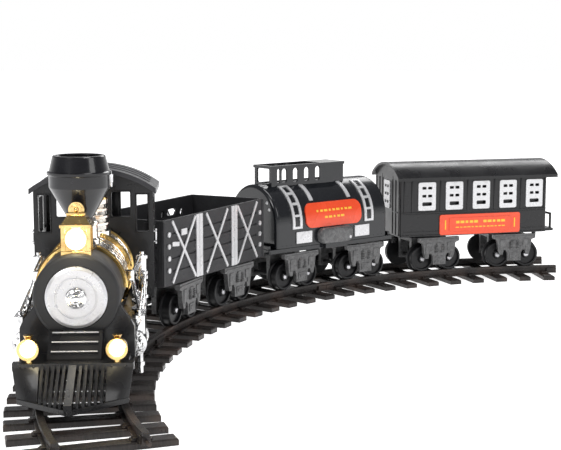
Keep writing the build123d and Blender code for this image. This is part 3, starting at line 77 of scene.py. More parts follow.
def place_at(origin, forward):
    """Matrix from a frame in millimetres, X forward and Z up, to the row frame in metres."""
    ahead = Vector((forward.x, forward.y, 0)).normalized()
    place = Matrix((ahead, UP.cross(ahead), UP)).transposed().to_4x4()
    place.translation = Vector((origin.x, origin.y, 0))
    return place @ Matrix.Scale(MM, 4)


def joint_point(name):
    """Where a joint is, in metres."""
    return Vector(joints[name]["pos_m"])


def loco_place():
    """Frame of the locomotive, whose driving axles stand at known places."""
    front = joint_point("driver_front_axle")
    ahead = (front - joint_point("driver_rear_axle")).normalized()
    return place_at(front - DRIVER_AXLE_X * MM * ahead, ahead)


def car_place(car):
    """Frame of a car, midway between its two king pins."""
    front = joint_point(f"{car}_front_swivel")
    back = joint_point(f"{car}_rear_swivel")
    return place_at((front + back) / 2, front - back)


def truck_place(car, end):
    """Frame of a truck, under its king pin."""
    axle_left = Vector(joints[f"{car}_{end}_axle_1"]["axis"])
    return place_at(joint_point(f"{car}_{end}_swivel"), axle_left.cross(UP))


CURVE_CENTRE = joint_point("loco_run")
LOCO = loco_place()
GONDOLA = car_place("gondola")
TANK = car_place("tank")
COACH = car_place("coach")
TRACK = place_at(CURVE_CENTRE, Vector((1, 0, 0)))


def move(x, y, z):
    """Shift within a frame."""
    return Matrix.Translation((x, y, z))


def turn(degrees, axis):
    """Turn within a frame."""
    return Matrix.Rotation(radians(degrees), 4, axis)


def facing(side):
    """Turn that points Z straight out of the left side (1) or the right side (-1)."""
    return turn(-90 * side, "X")


# ---------------------------------------------------------------- node materials
class Paint:
    """A node material that is built up from a colour, its unevenness, gloss and bump."""

    def __init__(self, name, colour, roughness, metallic=0.0, coat=0.0, specular=0.5):
        self.material = bpy.data.materials.new(name)
        self.material.use_nodes = True
        self.material.diffuse_color = (*colour, 1)
        self.tree = self.material.node_tree
        self.shader = self.tree.nodes["Principled BSDF"]
        self.shader.inputs["Metallic"].default_value = metallic
        self.shader.inputs["Specular IOR Level"].default_value = specular
        self.shader.inputs["Coat Weight"].default_value = coat
        self.shader.inputs["Coat Roughness"].default_value = 0.08
        self.colour = colour
        self.roughness = roughness
        self.colour_output = None
        self.normal_output = None
        self.place = self.node("ShaderNodeTexCoord").outputs["Object"]

    def node(self, kind):
        """Add a shader node."""
        return self.tree.nodes.new(kind)

    def link(self, source, target):
        """Join an output to an input."""
        self.tree.links.new(source, target)

    def noise(self, size, detail=4.0, stretch=(1, 1, 1), distortion=0.0):
        """Noise whose blobs are about this many millimetres across."""
        mapping = self.node("ShaderNodeMapping")
        mapping.inputs["Scale"].default_value = [factor / (size * MM) for factor in stretch]
        self.link(self.place, mapping.inputs["Vector"])
        texture = self.node("ShaderNodeTexNoise")
        texture.inputs["Scale"].default_value = 1.0
        texture.inputs["Detail"].default_value = detail
        texture.inputs["Distortion"].default_value = distortion
        self.link(mapping.outputs["Vector"], texture.inputs["Vector"])
        return texture.outputs["Fac"]

    def between(self, source, low, high, out_low=0.0, out_high=1.0):
        """Stretch the values from low to high over the output range."""
        reach = self.node("ShaderNodeMapRange")
        reach.inputs["From Min"].default_value = low
        reach.inputs["From Max"].default_value = high
        reach.inputs["To Min"].default_value = out_low
        reach.inputs["To Max"].default_value = out_high
        self.link(source, reach.inputs["Value"])
        return reach.outputs["Result"]

    def tint(self, mask, colour):
        """Lay another colour over the present one where the mask is high."""
        mix = self.node("ShaderNodeMix")
        mix.data_type = "RGBA"
        colour_a, colour_b = mix.inputs[6], mix.inputs[7]
        colour_a.default_value = (*self.colour, 1)
        colour_b.default_value = (*colour, 1)
        if self.colour_output is not None:
            self.link(self.colour_output, colour_a)
        self.link(mask, mix.inputs["Factor"])
        self.colour_output = mix.outputs[2]
        return self

    def soften_edges(self, radius):
        """Round the shading of sharp edges, by a radius in millimetres."""
        bevel = self.node("ShaderNodeBevel")
        bevel.samples = 4
        bevel.inputs["Radius"].default_value = radius * MM
        self.normal_output = bevel.outputs["Normal"]
        return self

    def bump(self, height, depth, strength=1.0):
        """Raise and sink the surface by up to this many millimetres."""
        bump = self.node("ShaderNodeBump")
        bump.inputs["Distance"].default_value = depth * MM
        bump.inputs["Strength"].default_value = strength
        self.link(height, bump.inputs["Height"])
        if self.normal_output is not None:
            self.link(self.normal_output, bump.inputs["Normal"])
        self.normal_output = bump.outputs["Normal"]
        return self

    def uneven_gloss(self, mask, spread):
        """Vary the roughness on both sides of its middle value."""
        low = max(0.02, self.roughness - spread)
        self.link(
            self.between(mask, 0.3, 0.7, low, self.roughness + spread),
            self.shader.inputs["Roughness"],
        )
        return self

    def done(self):
        """Join the colour and the normal to the shader, and give the material."""
        if self.colour_output is not None:
            self.link(self.colour_output, self.shader.inputs["Base Color"])
        if self.normal_output is not None:
            self.link(self.normal_output, self.shader.inputs["Normal"])
        return self.material


def lighter(colour, factor):
    """The same hue, lighter for a factor above 1 and darker below it."""
    return tuple(min(1.0, channel * factor) for channel in colour)


def moulded_plastic(name, colour, roughness, coat=0.0, mottle=1.35, grain=0.05, specular=0.3):
    """Injection-moulded plastic: faint flow marks, fine skin and a little dust."""
    paint = Paint(name, colour, roughness, coat=coat, specular=specular)
    flow = paint.noise(22, detail=3, distortion=0.6)
    skin = paint.noise(0.9, detail=5)
    specks = paint.noise(2.4, detail=6)
    paint.tint(paint.between(flow, 0.35, 0.7), lighter(colour, mottle))
    paint.tint(paint.between(specks, 0.66, 0.74, 0, 0.35), lighter(colour, 2.6))
    paint.uneven_gloss(flow, roughness * 0.3)
    paint.soften_edges(0.35)
    paint.bump(skin, grain)
    paint.bump(flow, 0.25, 0.5)
    return paint.done()


def plated(name, colour, roughness, stain, waviness=0.35, edge=0.3):
    """Vacuum-plated plastic: bright, slightly wavy, stained in the hollows."""
    paint = Paint(name, colour, roughness, metallic=1.0)
    wave = paint.noise(5.5, detail=2, distortion=0.4)
    cloud = paint.noise(13, detail=5, distortion=0.8)
    scratch = paint.noise(1.2, detail=6, stretch=(0.2, 1, 1))
    paint.tint(paint.between(cloud, 0.48, 0.72), stain)
    paint.tint(paint.between(scratch, 0.64, 0.74, 0, 0.5), lighter(stain, 0.6))
    paint.uneven_gloss(cloud, roughness * 0.6)
    paint.soften_edges(edge)
    paint.bump(wave, waviness, 0.6)
    paint.bump(scratch, 0.03)
    return paint.done()


def sprayed_paint(name, colour, roughness, flake=0.4):
    """Silver paint with fine flakes and darker wear."""
    paint = Paint(name, colour, roughness, metallic=flake, coat=0.15)
    flakes = paint.noise(0.35, detail=2)
    wear = paint.noise(7, detail=7, distortion=0.5)
    paint.tint(paint.between(flakes, 0.4, 0.65), lighter(colour, 1.22))
    paint.tint(paint.between(wear, 0.62, 0.74, 0, 0.5), lighter(colour, 0.55))
    paint.uneven_gloss(wear, 0.12)
    paint.soften_edges(0.25)
    paint.bump(flakes, 0.02)
    paint.bump(wear, 0.12, 0.5)
    return paint.done()


def mottled_grey(name, colour):
    """Grey plastic with a blotchy, cast look."""
    paint = Paint(name, colour, 0.42, coat=0.1, specular=0.4)
    blotch = paint.noise(3.2, detail=8, distortion=0.7)
    streak = paint.noise(1.1, detail=4)
    paint.tint(paint.between(blotch, 0.42, 0.62), lighter(colour, 1.75))
    paint.tint(paint.between(streak, 0.58, 0.7, 0, 0.7), lighter(colour, 0.45))
    paint.uneven_gloss(blotch, 0.16)
    paint.soften_edges(0.35)
    paint.bump(blotch, 0.3, 0.7)
    paint.bump(streak, 0.08)
    return paint.done()


def sleeper_plastic(name, colour):
    """Dark brown plastic with a wood grain and a rubbed, dusty top."""
    paint = Paint(name, colour, 0.38, coat=0.1, specular=0.3)
    grain = paint.noise(2.0, detail=8, stretch=(1, 1, 0.2), distortion=1.6)
    cloud = paint.noise(30, detail=4)
    paint.tint(paint.between(grain, 0.46, 0.68), lighter(colour, 1.9))
    paint.tint(paint.between(cloud, 0.5, 0.72, 0, 0.6), (0.11, 0.075, 0.06))
    paint.uneven_gloss(grain, 0.12)
    paint.soften_edges(0.5)
    paint.bump(grain, 0.22)
    return paint.done()


def plank_plastic(name, colour):
    """Charcoal plastic with a faint wood grain."""
    paint = Paint(name, colour, 0.5, specular=0.35)
    grain = paint.noise(1.6, detail=8, stretch=(1, 1, 0.9), distortion=2.2)
    cloud = paint.noise(16, detail=4)
    paint.tint(paint.between(grain, 0.44, 0.66), lighter(colour, 1.5))
    paint.tint(paint.between(cloud, 0.5, 0.74, 0, 0.7), lighter(colour, 1.9))
    paint.uneven_gloss(grain, 0.13)
    paint.soften_edges(0.35)
    paint.bump(grain, 0.14)
    return paint.done()


def lit_lens(name):
    """Lamp glass, lit warm white from behind."""
    paint = Paint(name, (1.0, 0.97, 0.86), 0.2, coat=0.8)
    ripple = paint.noise(2.5, detail=3)
    paint.tint(paint.between(ripple, 0.4, 0.7), (1.0, 0.93, 0.72))
    paint.uneven_gloss(ripple, 0.08)
    paint.bump(ripple, 0.2)
    paint.shader.inputs["Emission Color"].default_value = (1.0, 0.95, 0.70, 1)
    paint.shader.inputs["Emission Strength"].default_value = 0.85
    return paint.done()


# One finish for each slot of the record, and a few more that share a slot.
finishes = {
    "track_plastic": sleeper_plastic("track_plastic", (0.017, 0.014, 0.013)),
    "loco_black": moulded_plastic("loco_black", (0.013, 0.013, 0.014), 0.30, coat=0.15),
    "boiler_chrome": plated("boiler_chrome", (0.86, 0.83, 0.78), 0.09, (0.58, 0.42, 0.28)),
    "gold_plate": plated("gold_plate", (0.86, 0.60, 0.22), 0.12, (0.62, 0.33, 0.10)),
    "silver_paint": sprayed_paint("silver_paint", (0.62, 0.62, 0.63), 0.34),
    "lamp_metal": plated(
        "lamp_gold", (0.86, 0.62, 0.26), 0.14, (0.50, 0.28, 0.09), waviness=0.6
    ),
    "lamp_glass": lit_lens("lamp_glass"),
    "roof_grey": moulded_plastic("roof_grey", (0.030, 0.030, 0.033), 0.36, coat=0.1, mottle=1.5),
    "gear_chrome": plated(
        "gear_chrome", (0.84, 0.84, 0.84), 0.10, (0.45, 0.45, 0.46), waviness=0.6
    ),
    "motor_steel": sprayed_paint("motor_steel", (0.42, 0.43, 0.45), 0.38, flake=0.8),
    "cell_metal": sprayed_paint("cell_metal", (0.50, 0.52, 0.55), 0.3, flake=0.7),
    "smoke_brass": plated("smoke_brass", (0.62, 0.45, 0.20), 0.28, (0.35, 0.22, 0.10)),
    "screw_steel": plated("screw_steel", (0.50, 0.50, 0.52), 0.25, (0.30, 0.30, 0.31)),
    "switch_black": moulded_plastic("switch_black", (0.018, 0.018, 0.018), 0.45),
    "truck_grey": mottled_grey("truck_grey", (0.085, 0.085, 0.086)),
    "wheel_grey": moulded_plastic("wheel_grey", (0.009, 0.009, 0.010), 0.36),
    "driver_metal": moulded_plastic("driver_grey", (0.022, 0.022, 0.024), 0.32, coat=0.1),
    "gondola_black": plank_plastic("gondola_black", (0.022, 0.022, 0.024)),
    "tank_black": moulded_plastic("tank_black", (0.008, 0.009, 0.011), 0.20, coat=0.5, grain=0.02),
    "coach_black": moulded_plastic(
        "coach_black", (0.011, 0.011, 0.012), 0.30, coat=0.2, grain=0.03
    ),
    "plate_red": moulded_plastic(
        "plate_red", (0.80, 0.075, 0.022), 0.26, coat=0.5, mottle=1.1, grain=0.02
    ),
    "coupler_black": moulded_plastic("coupler_black", (0.016, 0.016, 0.017), 0.42),
    "mark_yellow": moulded_plastic("mark_yellow", (0.95, 0.52, 0.05), 0.3, coat=0.2, mottle=1.1),
    "loco_gloss": moulded_plastic(
        "loco_gloss", (0.009, 0.009, 0.011), 0.22, coat=0.4, grain=0.02
    ),
    "door_silver": sprayed_paint("door_silver", (0.60, 0.60, 0.62), 0.34, flake=0.5),
    "smokebox_matt": moulded_plastic("smokebox_matt", (0.028, 0.028, 0.029), 0.5, mottle=1.25),
}

# Three nodes look different from the rest of their slot.
finish_of_node = {
    "chimney": "loco_gloss",
    "smokebox_door": "door_silver",
    "boiler_shell": "smokebox_matt",
}
for name, node in nodes.items():
    finish = finishes[finish_of_node.get(name, slot_of_node[name])]
    node.data.materials.clear()
    node.data.materials.append(finish)


# ---------------------------------------------------------------- mesh helpers
SHARP_ANGLE = 35


class Shape:
    """Collects the surfaces of one piece, in millimetres of its vehicle's frame."""

    def __init__(self):
        self.points = []
        self.faces = []

    def add(self, points, faces, place=Matrix()):
        """Add one surface, given in the frame of its place."""
        first = len(self.points)
        self.points.extend(place @ Vector(point) for point in points)
        self.faces.extend(tuple(first + index for index in face) for face in faces)

    def lathe(self, profile, place=Matrix(), segments=32):
        """Turned shape of (radius, height) points about Z; its ends are closed."""
        points = []
        for radius, height in profile:
            for step in range(segments):
                angle = FULL_TURN * step / segments
                points.append((radius * cos(angle), radius * sin(angle), height))
        faces = []
        for ring in range(len(profile) - 1):
            for step in range(segments):
                after = (step + 1) % segments
                low, high = ring * segments, (ring + 1) * segments
                faces.append((low + step, low + after, high + after, high + step))
        faces.append(tuple(reversed(range(segments))))
        last = (len(profile) - 1) * segments
        faces.append(tuple(range(last, last + segments)))
        self.add(points, faces, place)

    def stud(self, radius, place=Matrix(), height=0.6):
        """Low domed head, standing along Z."""
        steps = 4
        profile = [(radius, -0.1)]
        for step in range(steps):
            angle = pi / 2 * step / steps
            profile.append((radius * cos(angle), radius * height * sin(angle)))
        profile.append((radius * 0.05, radius * height))
        self.lathe(profile, place, segments=12)

    def block(self, size, place=Matrix(), bevel=0.3):
        """Box with rounded edges, centred on the place."""
        mesh = bmesh.new()
        bmesh.ops.create_cube(mesh, size=1.0, matrix=Matrix.Diagonal((*size, 1.0)))
        bmesh.ops.bevel(
            mesh, geom=mesh.edges[:], offset=bevel, segments=2, profile=0.5, affect="EDGES"
        )
        mesh.verts.index_update()
        points = [vertex.co.copy() for vertex in mesh.verts]
        faces = [tuple(vertex.index for vertex in face.verts) for face in mesh.faces]
        mesh.free()
        self.add(points, faces, place)

    def rod(self, start, end, radius, segments=12):
        """Round bar between two points."""
        start, end = Vector(start), Vector(end)
        along = end - start
        place = Matrix.Translation(start) @ along.to_track_quat("Z", "Y").to_matrix().to_4x4()
        length = along.length
        rim = radius * 0.25
        profile = [
            (radius - rim, 0), (radius, rim), (radius, length - rim), (radius - rim, length),
        ]
        self.lathe(profile, place, segments)

    def piece(self, name, place, body, slot, finish=None):
        """Make the object, in metres in the row frame, and let it ride on its body."""
        mesh = bpy.data.meshes.new(name)
        mesh.from_pydata([place @ point for point in self.points], [], self.faces)
        mesh.validate()
        mesh.shade_smooth()
        mesh.set_sharp_from_angle(angle=radians(SHARP_ANGLE))
        mesh.materials.append(finishes[finish or slot])
        made = bpy.data.objects.new(name, mesh)
        bpy.context.scene.collection.objects.link(made)
        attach(made, body)
        return made


# ---------------------------------------------------------------- boiler jacket
BOILER_AXIS_Z = 69.0
JACKET_SECTIONS = ((-41.3, -79.5), (-83.1, -109.8))
JACKET_OUTER = 25.0
JACKET_SKIN = 24.62
JACKET_INNER = 23.5
BRICK_ROW = 3.5            # from one ring of oblongs to the next
BRICK_WIDTH = 2.3
BRICKS_ROUND = 26
BRICK_FILL = 0.74          # share of a ring that its oblongs take up
BRICK_EDGE = 0.32          # width of an oblong's sloping edge
BRICK_SINK = 0.05          # how deep an oblong's foot goes into the skin
BEAD_MARGIN = 4.0          # length at a section's ends that stays free of oblongs


def along_boiler():
    """Frame whose Z runs forward along the boiler's axis."""
    return move(0, 0, BOILER_AXIS_Z) @ turn(90, "Y")


def emboss_brick(shape, middle_x, middle_angle):
    """One raised oblong on the jacket, with sloping edges."""
    half_width = BRICK_WIDTH / 2
    half_sweep = FULL_TURN / BRICKS_ROUND * BRICK_FILL / 2
    edge_sweep = BRICK_EDGE / JACKET_OUTER
    across_steps = 4
    points = []
    faces = []
    rows = (
        (-half_width, half_sweep, JACKET_SKIN - BRICK_SINK),
        (-half_width + BRICK_EDGE, half_sweep - edge_sweep, JACKET_OUTER),
        (half_width - BRICK_EDGE, half_sweep - edge_sweep, JACKET_OUTER),
        (half_width, half_sweep, JACKET_SKIN - BRICK_SINK),
    )
    for offset, sweep, radius in rows:
        for step in range(across_steps + 1):
            angle = middle_angle + sweep * (2 * step / across_steps - 1)
            points.append((radius * cos(angle), radius * sin(angle), middle_x + offset))
    width = across_steps + 1
    for row in range(len(rows) - 1):
        for step in range(across_steps):
            low, high = row * width + step, (row + 1) * width + step
            faces.append((low, low + 1, high + 1, high))
    for step in (0, across_steps):
        faces.append(tuple(row * width + step for row in range(len(rows))))
    shape.add(points, faces, along_boiler())


def make_jacket():
    """Plated boiler jacket with beaded ends, embossed all over with small oblongs."""
    shape = Shape()
    for front, back in JACKET_SECTIONS:
        profile = [
            (JACKET_INNER, back), (JACKET_SKIN - 0.3, back), (JACKET_OUTER, back + 0.5),
            (JACKET_OUTER, back + 1.3), (JACKET_SKIN, back + 1.6), (JACKET_SKIN, front - 1.6),
            (JACKET_OUTER, front - 1.3), (JACKET_OUTER, front - 0.5), (JACKET_SKIN - 0.3, front),
            (JACKET_INNER, front),
        ]
        shape.lathe(profile, along_boiler(), segments=96)
        rows = int((front - back - BEAD_MARGIN) / BRICK_ROW)
        first_x = (front + back) / 2 - (rows - 1) * BRICK_ROW / 2
        for row in range(rows):
            for brick in range(BRICKS_ROUND):
                angle = FULL_TURN * (brick + 0.5 * (row % 2)) / BRICKS_ROUND
                emboss_brick(shape, first_x + row * BRICK_ROW, angle)
    jacket = shape.piece("embossed_jacket", LOCO, "loco", "boiler_chrome")
    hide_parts("boiler_jacket")


# ---------------------------------------------------------------- locomotive details
STEAM_DOME_X = -91.0
DOOR_FACE_X = 3.4
PILOT_BEAM_X = 25.3
PILOT_BEAM_Z = 34.2
DECK_BOLTS_X = 21.5
DECK_TOP_Z = 36.0


def make_dome_cap():
    """Gold cap and finial on top of the steam dome."""
    shape = Shape()
    shape.lathe(
        [
            (11.0, 116.2), (11.7, 116.4), (11.7, 116.9), (9.8, 118.2), (6.2, 120.6), (2.6, 121.6),
            (2.1, 122.4), (2.6, 123.0), (2.2, 123.9), (0.6, 124.3),
        ],
        move(STEAM_DOME_X, 0, 0),
        segments=48,
    )
    shape.piece("dome_cap", LOCO, "loco", "gold_plate")


def make_door_hub():
    """Plated hub, grip and hinge straps of the smokebox door."""
    shape = Shape()
    forward = move(DOOR_FACE_X, 0, BOILER_AXIS_Z) @ turn(90, "Y")
    shape.lathe(
        [
            (6.2, -2.0), (6.2, -0.9), (5.6, -0.3), (4.9, -0.5), (4.3, 0.3), (3.7, 0.5), (3.3, 0.1),
            (2.4, 0.3), (2.2, 1.5), (1.6, 1.9), (0.4, 2.0),
        ],
        forward,
        segments=48,
    )
    for angle in (20, 140, 260):
        spoke = forward @ turn(angle, "Z")
        shape.block((4.4, 1.0, 0.9), spoke @ move(2.9, 0, 0.8), bevel=0.3)
    shape.piece("door_hub", LOCO, "loco", "gear_chrome")


CYLINDER_FRONT_X = -10.9
GEAR_ACROSS = 32.2
CYLINDER_AXIS_Z = 38.6
COVER_STUDS = 8
COVER_STUD_RING = 5.6
UNION_PLACES = ((-41, 33.5, 54), (-50, 33, 57), (-58, 33, 60), (-67, 34, 56))
COCK_FOOT = (35.2, 48.2)   # across and up
VALVE_FOOT = (34.6, 58)
UNION_PROFILE = (
    (1.4, -4.0), (1.4, -2.6), (2.5, -2.4), (2.5, -0.6), (1.5, -0.2), (1.5, 1.0),
    (2.1, 1.2), (2.1, 2.4), (1.2, 2.9), (0.4, 3.0),
)
COCK_PROFILE = (
    (0.9, 0), (1.7, 0.3), (1.7, 2.6), (1.0, 3.0), (1.0, 4.6), (1.9, 5.0), (1.9, 7.4),
    (1.1, 8.0), (1.1, 9.4), (0.4, 9.8),
)
VALVE_PROFILE = (
    (1.0, 0), (1.9, 0.5), (1.9, 3.6), (1.2, 4.4), (1.2, 8.0), (2.0, 8.6), (2.0, 11), (0.5, 12),
)


def make_gear_fittings():
    """Studs, unions, cocks, valves and pipes that crowd both sides of the engine."""
    for side, name in ((1, "left"), (-1, "right")):
        shape = Shape()
        cover = move(CYLINDER_FRONT_X, side * GEAR_ACROSS, CYLINDER_AXIS_Z) @ turn(90, "Y")
        for step in range(COVER_STUDS):
            angle = FULL_TURN * step / COVER_STUDS
            on_ring = move(COVER_STUD_RING * cos(angle), COVER_STUD_RING * sin(angle), 0.1)
            shape.stud(0.85, cover @ on_ring)
        for union_x, across, height in UNION_PLACES:
            union = move(union_x, side * across, height) @ facing(side)
            shape.lathe(UNION_PROFILE, union, segments=16)
        across, foot = COCK_FOOT
        for cock_x in (-16, -32, -41, -52, -62):
            shape.lathe(COCK_PROFILE, move(cock_x, side * across, foot), segments=16)
        shape.rod((-20, side * 35.6, 57), (-58, side * 35.2, 63), 0.8)
        shape.rod((-58, side * 35.2, 63), (-84, side * 33.6, 60), 0.8)
        shape.rod((-44, side * 30.2, 77), (-84, side * 31.6, 79), 0.7)
        shape.rod((-36, side * 33.4, 62), (-78, side * 33.6, 54), 1.0)
        for hanger_x in (-44, -56, -68, -80, -92, -104):
            shape.stud(0.8, move(hanger_x, side * 35.0, 50.1) @ facing(side))
        across, foot = VALVE_FOOT
        for valve_x in (-84.5, -91.5):
            shape.lathe(VALVE_PROFILE, move(valve_x, side * across, foot), segments=16)
        shape.piece(f"gear_fittings_{name}", LOCO, "loco", "gear_chrome")


CAB_FRONT_X = -115.0
CAB_BACK_X = -161.0
CAB_HALF_WIDTH = 39.8
CAB_SIDE = 38.3            # outside of the side walls, which stand a little inside the front wall
CAB_ARCH_RISE = 12.8
CAB_CROWN_Z = 131.4
CAB_ROOF_THICKNESS = 2.4
SIDE_WINDOWS_X = (-127.8, -147.8)
SIDE_WINDOW_MIDDLE_Z = 102
FRONT_WINDOWS = ((32.7, 103.8, 7.8, 24.8), (18.3, 109.8, 12.4, 16.6))  # across, up, width, height


def make_cab_trim():
    """Beading round the cab windows and rivets along the cab's edges."""
    shape = Shape()
    for side in SIDES:
        wall = side * (CAB_SIDE + 0.25)
        for window_x in SIDE_WINDOWS_X:
            for height in (89.6, 114.4):
                shape.block((17.6, 0.9, 1.1), move(window_x, wall, height), bevel=0.3)
            for offset in (-8.3, 8.3):
                place = move(window_x + offset, wall, SIDE_WINDOW_MIDDLE_Z)
                shape.block((1.1, 0.9, 25.9), place, bevel=0.3)
        for height in (48.2, 84.6):
            place = move((CAB_FRONT_X + CAB_BACK_X) / 2 - 1.2, wall, height)
            shape.block((43.0, 0.8, 1.3), place, bevel=0.3)
        for step in range(8):
            height = 51.5 + step * 4.3
            for edge_x in (CAB_FRONT_X - 3.4, CAB_BACK_X + 5.4):
                shape.stud(0.55, move(edge_x, side * CAB_SIDE, height) @ facing(side))
        front = CAB_FRONT_X + 0.2
        for across, middle, width, height in FRONT_WINDOWS:
            for offset in (-height / 2 - 0.4, height / 2 + 0.4):
                place = move(front, side * across, middle + offset)
                shape.block((0.8, width + 1.8, 0.9), place, bevel=0.25)
            for offset in (-width / 2 - 0.4, width / 2 + 0.4):
                place = move(front, side * across + offset, middle)
                shape.block((0.8, 0.9, height + 1.6), place, bevel=0.25)
    shape.piece("cab_trim", LOCO, "loco", "loco_black")


def make_roof_ribs():
    """Three ribs that follow the cab roof's arch from side to side."""
    shape = Shape()
    arch_radius = (CAB_HALF_WIDTH**2 + CAB_ARCH_RISE**2) / (2 * CAB_ARCH_RISE)
    arch_middle_z = CAB_CROWN_Z - arch_radius
    outer = arch_radius + CAB_ROOF_THICKNESS
    section = ((outer - 0.3, -0.9), (outer + 0.45, -0.5), (outer + 0.45, 0.5), (outer - 0.3, 0.9))
    corners = len(section)
    half_sweep = 0.55
    steps = 20
    for rib_x in (-127.5, -139.0, -150.5):
        points = []
        for step in range(steps + 1):
            angle = half_sweep * (2 * step / steps - 1)
            for radius, offset in section:
                up = arch_middle_z + radius * cos(angle)
                points.append((rib_x + offset, radius * sin(angle), up))
        faces = []
        for step in range(steps):
            for corner in range(corners - 1):
                low, high = step * corners + corner, (step + 1) * corners + corner
                faces.append((low, low + 1, high + 1, high))
        shape.add(points, faces)
    shape.piece("roof_ribs", LOCO, "loco", "roof_grey")


def make_door_posts():
    """Two posts with raised inner faces, in the open doorway at the back of the cab."""
    shape = Shape()
    for side in SIDES:
        for thickness, width, depth in ((1.4, 9.4, 1.0), (1.0, 6.2, 1.7)):
            place = move(CAB_BACK_X + depth, side * 10.4, 99.9)
            shape.block((thickness, width, 28.6), place, bevel=0.3)
    shape.piece("cab_door_posts", LOCO, "loco", "loco_black")


def make_pilot_bolts():
    """Bolt heads on the face of the buffer beam, and smaller ones on top behind it."""
    shape = Shape()
    beam = move(PILOT_BEAM_X, 0, PILOT_BEAM_Z) @ turn(90, "Y")
    for across in (-30, -22, 22, 30):
        shape.stud(0.8, beam @ move(0, across, 0))
    for across in (-13, -8, -3, 3, 8, 13):
        shape.stud(0.5, move(DECK_BOLTS_X, across, DECK_TOP_Z))
    shape.piece("pilot_bolts", LOCO, "loco", "loco_black")


def make_step_edge_highlights():
    """Silver rods that paint highlights along the edges of the three ribs on the sloping step
    panel.
    """
    shape = Shape()
    # each silver rod is a painted highlight where the rib edge catches the light
    for edge_x, edge_z in ((15.9, 40.8), (11.5, 45.4), (7.1, 50.0)):
        shape.rod((edge_x, -13.3, edge_z), (edge_x, 13.3, edge_z), 0.42)
    shape.piece("step_edge_highlights", LOCO, "loco", "silver_paint")


# ---------------------------------------------------------------- open wagon details
GONDOLA_HALF_WIDTH = 33.8
GONDOLA_HALF_LENGTH = 78.0
GONDOLA_MIDDLE_Z = 67.5
CORNER_IRONS = (((2.6, 0.9, 46.6), -1.2, 0.1), ((0.9, 2.6, 46.6), 0.1, -1.6))
PLANK_PITCH = 16.65


def make_wagon_irons():
    """Corner irons, nail heads, end stanchions and floor planks of the open wagon."""
    shape = Shape()
    for side in SIDES:
        for end in SIDES:
            for size, from_end, from_side in CORNER_IRONS:
                along = end * (GONDOLA_HALF_LENGTH + from_end)
                across = side * (GONDOLA_HALF_WIDTH + from_side)
                shape.block(size, move(along, across, GONDOLA_MIDDLE_Z), bevel=0.25)
        for nail_x in range(-62, 63, 8):
            for nail_z in (49.0, 58.2, 67.6, 76.5, 85.8):
                shape.stud(0.38, move(nail_x, side * GONDOLA_HALF_WIDTH, nail_z) @ facing(side))
    for end in SIDES:
        for stanchion_y in (-20, 0, 20):
            place = move(end * (GONDOLA_HALF_LENGTH + 0.4), stanchion_y, GONDOLA_MIDDLE_Z)
            shape.block((1.4, 3.4, 45.0), place, bevel=0.4)
    for plank in range(9):
        place = move((plank - 4) * PLANK_PITCH, 0, 46.2)
        shape.block((15.9, 63.0, 0.6), place, bevel=0.25)
    shape.piece("wagon_irons", GONDOLA, "gondola", "gondola_black")


# ---------------------------------------------------------------- tank car details
BARREL_RADIUS = 32.0
BARREL_AXIS_Z = 67.0
BARREL_HALF_LENGTH = 64.0
SKIRT_RIVETS_Z = 49.2
SKIRT_RIVET_PITCH = 5.04
TANK_DASH_PITCH = 4.7
CAP_BOLTS = 10
CAP_BOLT_RING = 6.6
FILLER_CAP_PROFILE = (
    (8.6, -0.2), (8.6, 0.5), (7.8, 0.9), (5.0, 0.9), (4.6, 0.5), (3.6, 0.5), (3.2, 1.2),
    (0.6, 1.4),
)


def on_barrel(x, angle, side, lift=0.0):
    """Frame on the barrel's skin, its Z pointing outward, at an angle above the axis."""
    outward = turn(-side * (90 - angle), "X")
    return move(x, 0, BARREL_AXIS_Z) @ outward @ move(0, 0, BARREL_RADIUS + lift)


def make_tank_marks():
    """Two rows of plain yellow dashes on each red plate."""
    shape = Shape()
    for side in SIDES:
        for angle, dashes in ((15.5, 9), (5.5, 5)):
            first = -(dashes - 1) * TANK_DASH_PITCH / 2
            for dash in range(dashes):
                length = 3.9 - 0.9 * (dash % 3)
                place = on_barrel(first + dash * TANK_DASH_PITCH, angle, side, 1.15)
                shape.block((length, 1.9, 0.3), place, bevel=0.12)
    shape.piece("tank_marks", TANK, "tank", "plate_red", "mark_yellow")


def make_tank_rivets():
    """Rivet rows round the barrel and along its skirts, and filler caps on its ends."""
    shape = Shape()
    for side in SIDES:
        for row_x in (-60.0, -48.4, 48.4, 60.0):
            for step in range(12):
                shape.stud(0.5, on_barrel(row_x, 2 + step * 6.4, side))
        for step in range(24):
            rivet_x = -58 + step * SKIRT_RIVET_PITCH
            rivet = move(rivet_x, side * BARREL_RADIUS, SKIRT_RIVETS_Z) @ facing(side)
            shape.stud(0.45, rivet)
    for end in SIDES:
        face = move(end * BARREL_HALF_LENGTH, 0, BARREL_AXIS_Z) @ turn(90 * end, "Y")
        shape.lathe(FILLER_CAP_PROFILE, face, segments=40)
        for step in range(CAP_BOLTS):
            angle = FULL_TURN * step / CAP_BOLTS
            on_ring = move(CAP_BOLT_RING * cos(angle), CAP_BOLT_RING * sin(angle), 0.9)
            shape.stud(0.5, face @ on_ring)
    shape.piece("tank_rivets", TANK, "tank", "tank_black")


RESERVOIR_MIDDLE_Z = 54.4
RESERVOIR_SIZE = (37.2, 13.6)
RESERVOIR_CORNER = 5.7
RESERVOIR_INNER = 32.1
RESERVOIR_OUTER = 38.05
RESERVOIR_ROUNDING = 2.5
ROUNDING_STEPS = 6


def rounded_outline(size, corner, steps=8):
    """Points round a rectangle with rounded corners, about its middle."""
    points = []
    for quarter in range(4):
        across = 1 if quarter in (0, 3) else -1
        upward = 1 if quarter in (0, 1) else -1
        for step in range(steps + 1):
            angle = pi / 2 * (quarter + step / steps)
            points.append((
                across * (size[0] / 2 - corner) + corner * cos(angle),
                upward * (size[1] / 2 - corner) + corner * sin(angle),
            ))
    return points


